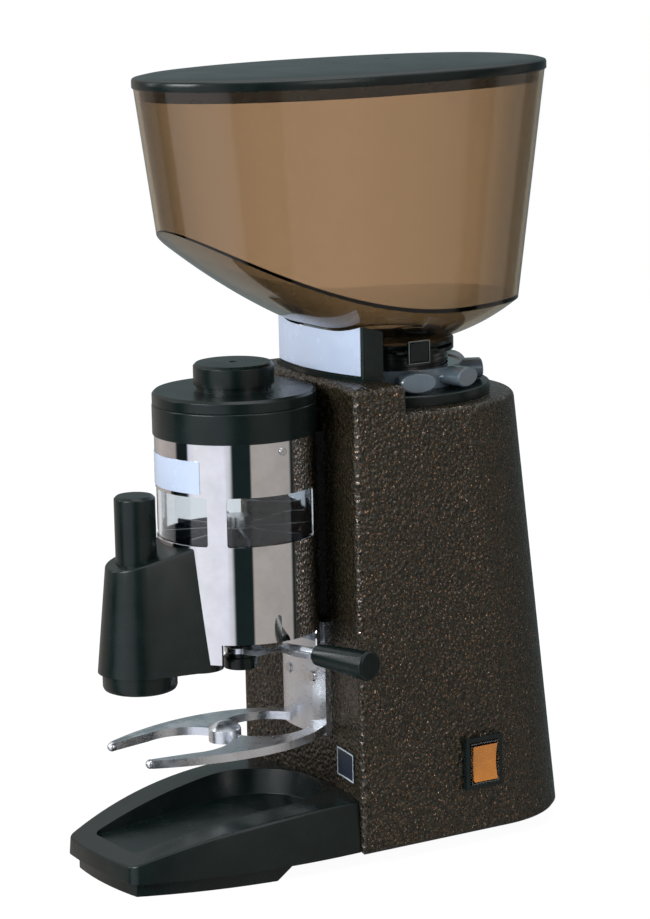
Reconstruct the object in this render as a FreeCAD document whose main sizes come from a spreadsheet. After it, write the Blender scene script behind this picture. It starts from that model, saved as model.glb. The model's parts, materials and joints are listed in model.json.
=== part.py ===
import FreeCAD, Part
import math
import os
import Sketcher

# Espresso grinder with a doser, in millimetres.
# The origin is on the table under the mill axis. X is to the user's right, -Y is the front, Z is up.

SIZES = {
    # general
    "overrun": 5.0,
    "seat_gap": 0.1,
    "run_gap": 0.05,
    # casing, a die casting that is open below
    "casing_half_width": 82.0,
    "casing_front": 87.0,
    "casing_hollow": 11.0,
    "casing_base_height": 12.0,
    "casing_top_height": 346.0,
    "casing_step_drop": 20.5,
    "casing_step_front": 44.5,
    "casing_rear_low": 123.0,
    "casing_rear_high": 86.0,
    "casing_wall": 4.0,
    "casing_corner": 5.0,
    "casing_edge": 5.0,
    "boss_radius": 7.0,
    "boss_height": 28.0,
    "boss_side": 40.0,
    "boss_front": 62.0,
    "boss_rear_side": 34.0,
    "boss_rear": 76.0,
    "boss_rib": 4.0,
    "boss_rib_length": 45.0,
    "ring_pocket_gap": 0.5,
    # base plate, feet and their screws
    "plate_thickness": 2.0,
    "plate_inset": 1.5,
    "foot_radius": 9.0,
    "foot_low_radius": 8.0,
    "foot_bore": 5.0,
    "foot_bore_depth": 4.0,
    "screw_radius": 2.0,
    "screw_hole_radius": 2.1,
    "screw_head_radius": 4.0,
    "screw_head_height": 2.4,
    "base_screw_reach": 18.0,
    # motor
    "shaft_radius": 6.0,
    "shaft_tail": 70.0,
    "motor_radius": 58.0,
    "motor_shell_wall": 2.5,
    "stator_drop": 116.0,
    "stator_height": 84.0,
    "stator_bore": 33.0,
    "rotor_gap": 0.5,
    "winding_height": 12.0,
    "winding_outer": 53.0,
    "winding_inner": 37.0,
    "shield_thickness": 10.0,
    "bearing_radius": 14.0,
    "bearing_height": 8.0,
    "fan_radius": 50.0,
    "fan_plate": 2.5,
    "fan_height": 16.0,
    "fan_hub_radius": 12.0,
    "fan_gap": 6.0,
    "fan_blade_thickness": 2.0,
    "capacitor_radius": 17.0,
    "capacitor_height": 58.0,
    "capacitor_side": 40.0,
    "capacitor_rear": 26.0,
    "terminal_width": 34.0,
    "terminal_depth": 18.0,
    "terminal_height": 16.0,
    "terminal_side": 26.0,
    "terminal_rear": 50.0,
    # mill
    "mill_bore": 46.0,
    "mill_wall": 6.0,
    "mill_depth": 67.4,
    "mill_floor": 6.0,
    "mill_top_rise": 7.9,
    "mill_shaft_hole": 10.0,
    "mill_flange_radius": 64.0,
    "mill_flange_thickness": 6.0,
    "mill_hole_gap": 1.5,
    "lower_carrier_radius": 35.0,
    "lower_carrier_lift": 4.0,
    "lower_carrier_thickness": 7.0,
    "lower_carrier_hub": 9.0,
    "burr_radius": 32.0,
    "burr_bore": 19.0,
    "burr_thickness": 7.5,
    "burr_gap": 1.0,
    "burr_nut_radius": 8.0,
    "burr_nut_height": 8.0,
    "carrier_flange_drop": 1.2,
    "carrier_inner_bore": 24.0,
    "neck_radius": 39.8,
    "neck_rib": 1.2,
    "neck_rib_height": 1.5,
    "neck_ribs": 3,
    "neck_rise": 23.5,
    "neck_bore": 35.2,
    "neck_bore_depth": 14.5,
    # graduated disc and lobed adjusting ring
    "disc_radius": 70.0,
    "disc_thickness": 8.0,
    "disc_chamfer": 1.0,
    "ring_lift": 0.5,
    "ring_height": 14.5,
    "ring_radius": 50.0,
    "lobe_reach": 64.4,
    "lobe_width": 26.5,
    "lobe_count": 9,
    "lobe_first_angle": -17.0,
    # doser
    "doser_stand": 1.8,
    "tube_radius": 57.6,
    "tube_wall": 1.0,
    "tube_height": 157.0,
    "tube_top_rise": 14.0,
    "window_height": 35.0,
    "window_drop": 1.6,
    "window_half_angle": 38.0,
    "skirt_cut_height": 14.5,
    "skirt_cut_start": -44.0,
    "skirt_cut_end": 40.0,
    "liner_wall": 2.0,
    "liner_lift": 0.2,
    "liner_rise": 6.0,
    "collar_stand": 1.1,
    "collar_height": 22.0,
    "lid_thickness": 8.8,
    "lid_inset": 0.3,
    "lid_plug_depth": 5.0,
    "lid_wall": 2.5,
    "knob_neck_radius": 26.9,
    "knob_neck_height": 3.6,
    "knob_radius": 28.7,
    "knob_height": 15.4,
    "knob_round": 2.0,
    "knob_dimple_radius": 3.0,
    "knob_dimple_depth": 0.6,
    "floor_rise": 43.0,
    "floor_thickness": 5.0,
    "doser_base_rise": 15.0,
    "doser_base_thickness": 4.0,
    "wheel_gap": 0.5,
    "wheel_height": 40.0,
    "wheel_hub_radius": 12.0,
    "wheel_lift": 0.3,
    "vane_thickness": 2.4,
    "vane_count": 8,
    "doser_shaft_radius": 5.0,
    "doser_nut_radius": 9.0,
    "doser_nut_height": 8.0,
    "outlet_margin": 2.5,
    "outlet_radius": 15.0,
    "outlet_wall": 2.0,
    "outlet_drop": 11.0,
    "outlet_throat": 18.0,
    "ratchet_radius": 15.0,
    "ratchet_thickness": 5.0,
    "ratchet_drop": 11.0,
    "pawl_radius": 16.0,
    "pawl_thickness": 3.0,
    "pawl_drop": 4.0,
    "sleeve_radius": 8.0,
    "spring_radius": 12.5,
    "spring_bore": 9.5,
    "spring_height": 8.0,
    "label_half_angle": 33.0,
    "label_lift": 2.6,
    "label_height": 23.0,
    "label_thickness": 0.4,
    "dome_screw_radius": 2.7,
    "dome_screw_height": 1.4,
    "dome_screw_drop": 7.0,
    "dome_screw_angle": 4.0,
    # saddle and chute between casing and doser
    "saddle_half_width": 26.0,
    "saddle_rise": 21.0,
    "saddle_top_drop": 3.0,
    "chute_half_width": 18.0,
    "chute_height": 22.0,
    "chute_wall": 2.0,
    # lever
    "lever_hub_drop": 15.0,
    "lever_disc_height": 8.4,
    "lever_disc_radius": 12.4,
    "lever_cap_radius": 11.0,
    "lever_cap_height": 3.4,
    "arm_thickness": 4.0,
    "arm_rise": 7.0,
    "arm_root_half_width": 7.0,
    "arm_tip_half_width": 8.5,
    "arm_waist_half_width": 5.0,
    "arm_reach": 77.0,
    "lever_angle": 13.3,
    "handle_start": 77.0,
    "handle_end": 129.0,
    "handle_small_radius": 7.6,
    "handle_large_radius": 10.8,
    "handle_lift": 2.2,
    "handle_round": 1.5,
    "tang_radius": 4.0,
    "tang_depth": 22.0,
    # tamper
    "tamper_stand": 25.5,
    "bracket_drop": 5.0,
    "bracket_height": 76.0,
    "bracket_top_rise": 11.5,
    "bracket_low_radius": 29.7,
    "bracket_high_radius": 20.5,
    "web_low_angle": 51.7,
    "web_high_angle": 63.7,
    "bracket_round": 2.0,
    "tamper_bore": 26.9,
    "tamper_bore_depth": 14.0,
    "tamper_foot_radius": 26.5,
    "tamper_foot_height": 13.6,
    "tamper_foot_round": 3.5,
    "tamper_rod_radius": 5.0,
    "tamper_stop_radius": 9.5,
    "tamper_stop_height": 4.0,
    "tamper_cap_radius": 14.6,
    "tamper_cap_height": 50.0,
    "tamper_cap_wall": 3.0,
    "tamper_cap_round": 2.0,
    # fork
    "fork_top": 95.0,
    "fork_thickness": 6.0,
    "fork_slope_angle": 1.0,
    "fork_tip_front": 228.0,
    "fork_tip_half": 27.8,
    "fork_tip_width": 5.0,
    "fork_ball_radius": 3.4,
    "fork_shoulder_front": 178.0,
    "fork_shoulder_half": 49.0,
    "fork_wide_front": 130.0,
    "fork_wide_half": 51.0,
    "fork_rear_half": 29.0,
    "slot_centre_front": 184.0,
    "slot_radius": 34.0,
    "eye_centre_front": 116.0,
    "eye_radius": 33.0,
    "bridge_boss_front": 150.5,
    "bridge_boss_radius": 11.8,
    "bridge_boss_height": 9.5,
    "bracket_half_width": 29.0,
    "bracket_depth": 5.0,
    "fork_screw_side": 16.0,
    "fork_screw_rise": 33.3,
    "fork_screw_reach": 16.0,
    # tray
    "tray_rear_half": 77.5,
    "tray_middle_half": 70.0,
    "tray_middle_front": 183.0,
    "tray_front_half": 48.0,
    "tray_front": 256.0,
    "tray_nose": 3.5,
    "tray_draft": 2.5,
    "tray_base_height": 11.0,
    "tray_rear_top": 48.4,
    "tray_middle_top": 41.6,
    "tray_front_top": 23.5,
    "tray_level_front": 100.0,
    "tray_corner": 10.0,
    "tray_edge": 2.2,
    "tray_floor_front": 25.0,
    "tray_floor_rear": 31.0,
    "bowl_radius": 51.5,
    "bowl_centre_front": 129.5,
    "bowl_nose_half": 35.0,
    "bowl_nose_front": 248.0,
    "bowl_draft": 5.0,
    "bowl_rim_height": 52.0,
    "bowl_corner": 6.0,
    "plinth_inset": 6.0,
    "plinth_rear": 151.0,
    "plinth_slant": 14.0,
    # switch, badge plate and cable gland
    "switch_rear": 16.3,
    "switch_height": 62.7,
    "bezel_width": 31.5,
    "bezel_length": 38.0,
    "bezel_stand": 4.5,
    "bezel_wall": 3.5,
    "bezel_body_depth": 16.0,
    "bezel_body_inset": 1.6,
    "rocker_gap": 0.9,
    "rocker_crown": 2.2,
    "rocker_depth": 9.0,
    "boot_wall": 1.2,
    "boot_stand": 1.0,
    "switch_floor": 2.0,
    "rocker_pin_radius": 1.5,
    "rocker_pin_depth": 1.7,
    "badge_low": 58.5,
    "badge_high": 80.5,
    "badge_inner": 37.0,
    "badge_outer": 67.0,
    "badge_thickness": 0.8,
    "gland_height": 38.0,
    "gland_radius": 8.0,
    "gland_flange_radius": 12.0,
    "gland_bore": 3.6,
    "gland_stand": 9.0,
    "gland_depth": 16.0,
    # name box in front of the neck
    "box_half_width": 57.0,
    "box_front": 62.5,
    "box_bulge": 9.0,
    "box_rear": 46.0,
    "box_height": 45.0,
    "box_hopper_gap": 2.2,
    "box_wall": 3.0,
    "box_rim_height": 3.0,
    "box_rim_stand": 1.2,
    "sign_half_width": 54.5,
    "sign_thickness": 0.5,
    "sign_lift": 4.5,
    # hopper
    "hopper_wall": 3.0,
    "hopper_height": 165.5,
    "hopper_middle": 52.0,
    "hopper_front": 202.0,
    "hopper_rear": 121.5,
    "hopper_half_width": 86.0,
    "crease_front": 188.0,
    "crease_rear": 97.5,
    "crease_half_width": 76.0,
    "crease_lift": 25.0,
    "crease_rise": 67.0,
    "crease_flat_rear": 20.0,
    "funnel_mid_drop": 9.0,
    "funnel_neck_rise": 8.5,
    "hopper_neck_radius": 35.0,
    "hopper_neck_wall": 3.0,
    "hopper_neck_lift": 1.0,
    "gate_collar_radius": 44.0,
    "gate_collar_lift": 0.3,
    "gate_lift": 3.2,
    "gate_thickness": 2.0,
    "gate_half_width": 29.0,
    "gate_reach": 31.0,
    "gate_tab_half_width": 9.0,
    "gate_tab_drop": 7.0,
    "gate_tab_height": 16.3,
    "gate_tab_thickness": 3.0,
    "gate_tab_reach": 49.0,
    "gate_tab_side": 11.7,
    "front_power": 2.0,
    "rear_power": 2.4,
    # hopper lid
    "cover_overhang": 1.2,
    "cover_rim_height": 7.0,
    "cover_rise": 3.8,
    "cover_wall": 2.4,
    "skirt_depth": 8.0,
    "skirt_gap": 1.5,
    "skirt_wall": 2.0,
}


class Size:
    """A size from the sheet, or a sum of sizes, with the words that an expression uses for it."""

    def __init__(self, value, words):
        self.value = float(value)
        self.words = words

    def __float__(self):
        return self.value

    def __add__(self, other):
        return Size(self.value + float(other), "(%s + %s)" % (self.words, words_of(other)))

    __radd__ = __add__

    def __sub__(self, other):
        return Size(self.value - float(other), "(%s - %s)" % (self.words, words_of(other)))

    def __rsub__(self, other):
        return Size(float(other) - self.value, "(%s - %s)" % (words_of(other), self.words))

    def __mul__(self, other):
        return Size(self.value * float(other), "(%s * %s)" % (self.words, words_of(other)))

    __rmul__ = __mul__

    def __truediv__(self, other):
        return Size(self.value / float(other), "(%s / %s)" % (self.words, words_of(other)))

    def __neg__(self):
        return Size(-self.value, "(0 - %s)" % self.words)


def words_of(item):
    return item.words if isinstance(item, Size) else repr(float(item))


class Sheet:
    """The driving sizes, read as attributes."""


doc = FreeCAD.newDocument("Grinder")
table = doc.addObject("Spreadsheet::Sheet", "Sizes")
d = Sheet()
for row, (alias, value) in enumerate(SIZES.items(), start=1):
    table.set("A%d" % row, alias)
    table.set("B%d" % row, str(value))
    table.setAlias("B%d" % row, alias)
    setattr(d, alias, Size(value, "Sizes." + alias))
doc.recompute()

# the casing's shelf and the mill that hangs from it
d.casing_step_height = d.casing_top_height - d.casing_step_drop
d.mill_top = d.casing_step_height + d.mill_top_rise
d.mill_base = d.mill_top - d.mill_depth
d.lower_carrier_base = d.mill_base + d.mill_floor + d.lower_carrier_lift
d.carrier_flange_top = d.mill_top - d.carrier_flange_drop
d.ring_base = d.casing_step_height + d.disc_thickness + d.ring_lift
d.neck_top = d.ring_base + d.neck_rise
d.neck_bore_base = d.neck_top - d.neck_bore_depth
d.stator_base = d.mill_base - d.stator_drop
d.shaft_base = d.stator_base - d.shaft_tail

# the doser, whose chute stands at the level of the burrs
d.chute_low = d.lower_carrier_base
d.chute_high = d.chute_low + d.chute_height
d.tube_top = d.chute_high + d.tube_top_rise
d.tube_base = d.tube_top - d.tube_height
d.window_high = d.chute_low - d.window_drop
d.window_low = d.window_high - d.window_height
d.skirt_cut_top = d.tube_base + d.skirt_cut_height
d.floor_base = d.tube_base + d.floor_rise
d.liner_base = d.floor_base + d.floor_thickness + d.liner_lift
d.liner_top = d.tube_top + d.liner_rise
d.doser_base_height = d.tube_base + d.doser_base_rise
d.outlet_base = d.tube_base - d.outlet_drop
d.ratchet_base = d.floor_base - d.ratchet_drop
d.pawl_base = d.ratchet_base - d.pawl_drop
d.label_low = d.window_high + d.label_lift
d.label_high = d.label_low + d.label_height
d.dome_screw_level = d.tube_top - d.dome_screw_drop
d.saddle_low = d.tube_base + d.saddle_rise
d.saddle_high = d.tube_top - d.saddle_top_drop
d.doser_front = d.casing_front - d.casing_hollow + d.doser_stand + d.tube_radius
d.collar_radius = d.tube_radius + d.collar_stand
d.lid_radius = d.collar_radius - d.lid_inset
d.wheel_radius = d.tube_radius - d.tube_wall - d.seat_gap - d.liner_wall - d.wheel_gap
d.outlet_reach = d.tube_radius - d.tube_wall - d.seat_gap - d.outlet_wall - d.outlet_margin - d.outlet_throat

# the lever under the doser, and the tamper in front of it
d.lever_hub_low = d.tube_base - d.lever_hub_drop
d.arm_base = d.lever_hub_low + d.lever_disc_height + d.lever_cap_height
d.handle_axis_height = d.arm_base + d.arm_rise + d.handle_lift
d.tamper_front = d.doser_front + d.tube_radius + d.tamper_stand
d.bracket_low = d.tube_base - d.bracket_drop
d.bracket_front_top = d.bracket_low + d.bracket_height
d.bracket_rear_top = d.bracket_front_top + d.bracket_top_rise
d.tamper_bore_top = d.bracket_low + d.tamper_bore_depth
d.tamper_foot_low = d.bracket_low - d.tamper_foot_height
d.tamper_cap_top = d.bracket_front_top + d.tamper_cap_height
d.tamper_rod_top = d.bracket_front_top + d.seat_gap + d.tamper_stop_height
d.fork_screw_level = d.fork_top + d.fork_screw_rise

# the name box and the hopper over the neck
d.box_top = d.casing_top_height + d.box_height
d.sign_low = d.casing_top_height + d.sign_lift
d.funnel_neck_height = d.neck_top + d.funnel_neck_rise
d.hopper_neck_low = d.neck_bore_base + d.hopper_neck_lift
d.gate_collar_low = d.neck_top + d.gate_collar_lift
d.gate_height = d.gate_collar_low + d.gate_lift
d.gate_tab_low = d.gate_height - d.gate_tab_drop
d.gate_tab_high = d.gate_tab_low + d.gate_tab_height
d.crease_low = d.funnel_neck_height + d.crease_lift
d.hopper_top = d.crease_low + d.hopper_height

NODES = []


def vector(x, y, z):
    return FreeCAD.Vector(float(x), float(y), float(z))


def bind(thing, field, size):
    """Ties one field of an object to the sheet."""
    if isinstance(size, Size):
        thing.setExpression(field, size.words)
    elif size:
        thing.setExpression(field, repr(float(size)))


def place(thing, at, axis=None, angle=0):
    """Turns an object about an axis through its own origin, and moves it to its place."""
    if axis:
        thing.Placement = FreeCAD.Placement(vector(0, 0, 0), FreeCAD.Rotation(vector(*axis), float(angle)))
    for letter, size in zip("xyz", at):
        bind(thing, "Placement.Base." + letter, size)
    return thing


def rod(name, radius, height, at, axis=None, angle=0):
    thing = doc.addObject("Part::Cylinder", name)
    bind(thing, "Radius", radius)
    bind(thing, "Height", height)
    return place(thing, at, axis, angle)


def cone(name, low_radius, high_radius, height, at, axis=None, angle=0):
    thing = doc.addObject("Part::Cone", name)
    bind(thing, "Radius1", low_radius)
    bind(thing, "Radius2", high_radius)
    bind(thing, "Height", height)
    return place(thing, at, axis, angle)


def block(name, sides, at):
    """A box whose place is the middle of its lower face."""
    thing = doc.addObject("Part::Box", name)
    for field, side in zip(("Length", "Width", "Height"), sides):
        bind(thing, field, side)
    return place(thing, (at[0] - sides[0] / 2, at[1] - sides[1] / 2, at[2]))


def join(name, pieces):
    thing = doc.addObject("Part::MultiFuse", name)
    thing.Shapes = pieces
    return thing


def cut(name, base, tools):
    thing = doc.addObject("Part::Cut", name)
    thing.Base = base
    thing.Tool = tools[0] if len(tools) == 1 else group(name + "_tools", tools)
    return thing


def group(name, pieces):
    thing = doc.addObject("Part::Compound", name)
    thing.Links = pieces
    return thing


def overlap_of(name, first, second):
    thing = doc.addObject("Part::Common", name)
    thing.Base = first
    thing.Tool = second
    return thing


def tube(name, outer, inner, height, at):
    bore = rod(name + "_bore", inner, height + 2 * d.overrun, (at[0], at[1], at[2] - d.overrun))
    return cut(name, rod(name + "_outer", outer, height, at), [bore])


def shaped(name, shape):
    thing = doc.addObject("Part::Feature", name)
    thing.Shape = shape
    return thing


def outline_sketch(body, role, outline, lift=0):
    """A closed outline of straight lines, with each corner tied to the sheet."""
    sketch = body.newObject("Sketcher::SketchObject", body.Name + "_outline")
    plane = [part for part in body.Origin.OriginFeatures if part.Role == role][0]
    sketch.AttachmentSupport = [(plane, "")]
    sketch.MapMode = "FlatFace"
    bind(sketch, "AttachmentOffset.Base.z", lift)
    corners = [vector(u, v, 0) for u, v in outline]
    count = len(corners)
    for index in range(count):
        sketch.addGeometry(Part.LineSegment(corners[index], corners[(index + 1) % count]), False)
    for index in range(count):
        sketch.addConstraint(Sketcher.Constraint("Coincident", index, 2, (index + 1) % count, 1))
    for index, corner in enumerate(outline):
        for kind, axis, size in (("DistanceX", -2, corner[0]), ("DistanceY", -1, corner[1])):
            if isinstance(size, Size):
                made = sketch.addConstraint(Sketcher.Constraint(kind, index, 1, float(size)))
                sketch.setExpression("Constraints[%d]" % made, size.words)
            else:
                sketch.addConstraint(Sketcher.Constraint("PointOnObject", index, 1, axis))
    return sketch


def turned(name, outline, at):
    """A turned piece: an outline of (radius, height) corners, spun about the piece's own Z axis."""
    body = doc.addObject("PartDesign::Body", name)
    sketch = outline_sketch(body, "XZ_Plane", outline)
    spin = body.newObject("PartDesign::Revolution", name + "_turn")
    spin.Profile = sketch
    spin.ReferenceAxis = (sketch, ["V_Axis"])
    spin.Angle = 360
    return place(body, at)


def keep(label, thing):
    """Names a finished sub-part."""
    thing.Label = label
    NODES.append(thing)
    return thing


def extrude(edges, low, height):
    """A prism over a closed plan outline."""
    face = Part.Face(Part.Wire(edges))
    face.translate(vector(0, 0, low))
    return face.extrude(vector(0, 0, height))


def line(first, second):
    return Part.LineSegment(first, second).toShape()


def arc(first, middle, last):
    return Part.Arc(first, middle, last).toShape()


# how far in from a rounded corner's point its arc passes, as a share of the corner's run
CORNER_ARC_SHARE = 0.28

# how narrow the rocker is at its inner end, as a share of its face
ROCKER_FOOT_SHARE = 0.6

# a burr's dish: how deep it goes at the bore, and how far out it starts
DISH_DEPTH_SHARE = 0.4
DISH_START_SHARE = 0.6

# the lever arm: its knee beside the disc, its waist and its broad tip
KNEE_SHARE = 1.8
ROOT_END_SHARE = 0.6
WAIST_END_SHARE = 0.55
TIP_START_SHARE = 0.82
TIP_WIDTH_SHARE = 0.8
ARM_DISC_SHARE = 1.7

# the tamper foot's lower edge is rounded in two facets
FOOT_FACET_SHARE = 0.3

# the fork: where its slot's straight sides start, and how its bosses swell
MOUTH_WIDTH_SHARE = 0.94
MOUTH_DEPTH_SHARE = 0.34
BOSS_SWELL_SHARE = 1.183
UPRIGHT_BULGE_SHARE = 0.6
SCREW_SEAT_SHARE = 0.35
FORK_HEAD_RADIUS_SHARE = 0.85
FORK_HEAD_HEIGHT_SHARE = 0.8

# the dome of the hopper's lid: the sizes of its rings, and how full it is
DOME_SHARES = (0.985, 0.93, 0.8, 0.6, 0.36, 0.14)
DOME_POWER = 2.2

# where the main axes stand
DOSER_Y = -d.doser_front
TAMPER_Y = -d.tamper_front
FRONT_RADIUS = (d.casing_half_width * d.casing_half_width + d.casing_hollow * d.casing_hollow) / (
    2 * d.casing_hollow
)
FRONT_CENTRE_Y = -d.casing_front + d.casing_hollow - FRONT_RADIUS
SHELF = d.casing_step_height - d.casing_wall


def front_face_y(x, depth=0):
    """How far back the hollow front face lies, at a distance x from the middle."""
    radius = float(FRONT_RADIUS) + float(depth)
    return float(FRONT_CENTRE_Y) + math.sqrt(radius**2 - float(x) ** 2)


def casing_section(height, inset):
    """The casing's plan at one height: hollow front, straight sides and a half-round back."""
    share = (float(height) - float(d.casing_base_height)) / float(d.casing_top_height - d.casing_base_height)
    rear = float(d.casing_rear_low) + share * float(d.casing_rear_high - d.casing_rear_low) - float(inset)
    half = float(d.casing_half_width - inset)
    front = front_face_y(half, inset)
    left_front = vector(-half, front, height)
    right_front = vector(half, front, height)
    left_rear = vector(-half, rear - half, height)
    right_rear = vector(half, rear - half, height)
    return Part.Wire([
        line(left_front, left_rear),
        arc(left_rear, vector(0, rear, height), right_rear),
        line(right_rear, right_front),
        arc(right_front, vector(0, front_face_y(0, inset), height), left_front),
    ])


def casing_block(low, high, inset):
    return Part.makeLoft([casing_section(low, inset), casing_section(high, inset)], True, True)


def step_cutter(step_height, step_y):
    """The space above the low rear part of the casing's top."""
    wide = float(d.casing_half_width) * 4
    corner = vector(-wide / 2, step_y, step_height)
    return Part.makeBox(wide, wide, float(d.casing_top_height), corner)


def make_casing():
    outer = casing_block(d.casing_base_height, d.casing_top_height, 0)
    corners = [edge for edge in outer.Edges if is_front_corner(edge)]
    outer = outer.makeFillet(float(d.casing_corner), corners)
    outer = outer.cut(step_cutter(d.casing_step_height, -d.casing_step_front))
    top_edges = [edge for edge in outer.Edges if is_casing_top_edge(edge)]
    outer = outer.makeFillet(float(d.casing_edge), top_edges)
    inner = casing_block(d.casing_base_height - d.overrun, d.casing_top_height - d.casing_wall, d.casing_wall)
    inner = inner.cut(step_cutter(SHELF, -d.casing_step_front - d.casing_wall))
    pocket = float(d.disc_radius + d.ring_pocket_gap)
    around = Part.makeCylinder(pocket + float(d.casing_wall), float(SHELF), vector(0, 0, SHELF))
    shell = outer.cut(inner.cut(around))
    shell = shell.cut(Part.makeCylinder(pocket, float(SHELF), vector(0, 0, d.casing_step_height)))
    rib = float(d.boss_rib)
    for x, y in boss_places():
        base = float(d.casing_base_height)
        boss = Part.makeCylinder(float(d.boss_radius), float(d.boss_height), vector(x, y, base))
        long = float(d.boss_rib_length)
        start = float(y) - (long if float(y) < 0 else 0)
        web = Part.makeBox(rib, long, float(d.boss_height), vector(float(x) - rib / 2, start, base))
        shell = shell.fuse(boss.fuse(web).common(outer))
    shell = shell.removeSplitter()
    base = shaped("CasingShell", shell)
    holes = [
        rod(
            "MillHole", d.mill_bore + d.mill_wall + d.mill_hole_gap, 4 * d.overrun,
            (0, 0, SHELF - 2 * d.overrun),
        ),
        block(
            "ChuteHole",
            (2 * (d.chute_half_width + d.chute_wall + d.seat_gap), 4 * d.overrun,
             d.chute_high - d.chute_low + 2 * (d.chute_wall + d.seat_gap)),
            (0, -d.casing_front + d.casing_hollow, d.chute_low - d.chute_wall - d.seat_gap),
        ),
        block(
            "SwitchHole",
            (4 * d.overrun, d.bezel_width - 2 * d.bezel_body_inset + 2 * d.seat_gap,
             d.bezel_length - 2 * d.bezel_body_inset + 2 * d.seat_gap),
            (d.casing_half_width, d.switch_rear,
             d.switch_height - d.bezel_length / 2 + d.bezel_body_inset - d.seat_gap),
        ),
        rod(
            "GlandHole", d.gland_radius + d.seat_gap, 8 * d.overrun,
            (0, d.casing_rear_low - 4 * d.overrun, d.gland_height), (1, 0, 0), -90,
        ),
    ]
    for index, (x, y) in enumerate(boss_places()):
        holes.append(rod(
            "BossHole%d" % index, d.screw_hole_radius, d.base_screw_reach + d.overrun,
            (x, y, d.casing_base_height - d.overrun),
        ))
    for side in (-1, 1):
        holes.append(rod(
            "ForkScrewHole%d" % (side + 1), d.screw_hole_radius, 4 * d.overrun,
            (side * d.fork_screw_side, -d.casing_front, d.fork_screw_level), (1, 0, 0), -90,
        ))
    keep("casing", cut("Casing", base, holes))


def is_front_corner(edge):
    """One of the two upright edges beside the hollow front."""
    box = edge.BoundBox
    upright = box.ZLength > float(d.casing_base_height)
    return upright and box.YMax < 0 and box.YLength < float(d.casing_edge)


def is_casing_top_edge(edge):
    """An edge round the high or the low part of the casing's top, apart from the step's foot."""
    box = edge.BoundBox
    near = float(d.seat_gap)
    flat = box.ZLength < near
    high = abs(box.ZMin - float(d.casing_top_height)) < near
    low = abs(box.ZMin - float(d.casing_step_height)) < near
    step = box.YLength < near and abs(box.YMin + float(d.casing_step_front)) < near
    return flat and (high or (low and not step))


def boss_places():
    """The four screw bosses, which the feet stand under."""
    places = []
    for side in (-1, 1):
        places.append((side * d.boss_side, -d.boss_front))
        places.append((side * d.boss_rear_side, d.boss_rear))
    return places


def make_base():
    low = d.casing_base_height - d.plate_thickness
    sheet = extrude(casing_section(d.casing_base_height, d.plate_inset).Edges, 0, float(-d.plate_thickness))
    plate = shaped("PlateBlank", sheet)
    holes = []
    feet = []
    screws = []
    for index, (x, y) in enumerate(boss_places()):
        holes.append(rod("PlateHole%d" % index, d.screw_hole_radius, 2 * d.overrun, (x, y, low - d.overrun)))
        foot = cone("Foot%d" % index, d.foot_low_radius, d.foot_radius, low, (x, y, 0))
        bore = rod("FootBore%d" % index, d.screw_hole_radius, low + 2 * d.overrun, (x, y, -d.overrun))
        well = rod("FootWell%d" % index, d.foot_bore, d.foot_bore_depth + d.overrun, (x, y, -d.overrun))
        feet.append(cut("FootCut%d" % index, foot, [bore, well]))
        head = rod(
            "BaseScrewHead%d" % index, d.screw_head_radius, d.screw_head_height,
            (x, y, d.foot_bore_depth - d.screw_head_height),
        )
        reach = d.casing_base_height - d.foot_bore_depth + d.base_screw_reach
        shank = rod("BaseScrewShank%d" % index, d.screw_radius, reach, (x, y, d.foot_bore_depth))
        screws.append(join("BaseScrew%d" % index, [head, shank]))
    keep("base_plate", cut("BasePlate", plate, holes))
    keep("feet", group("Feet", feet))
    return screws


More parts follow.
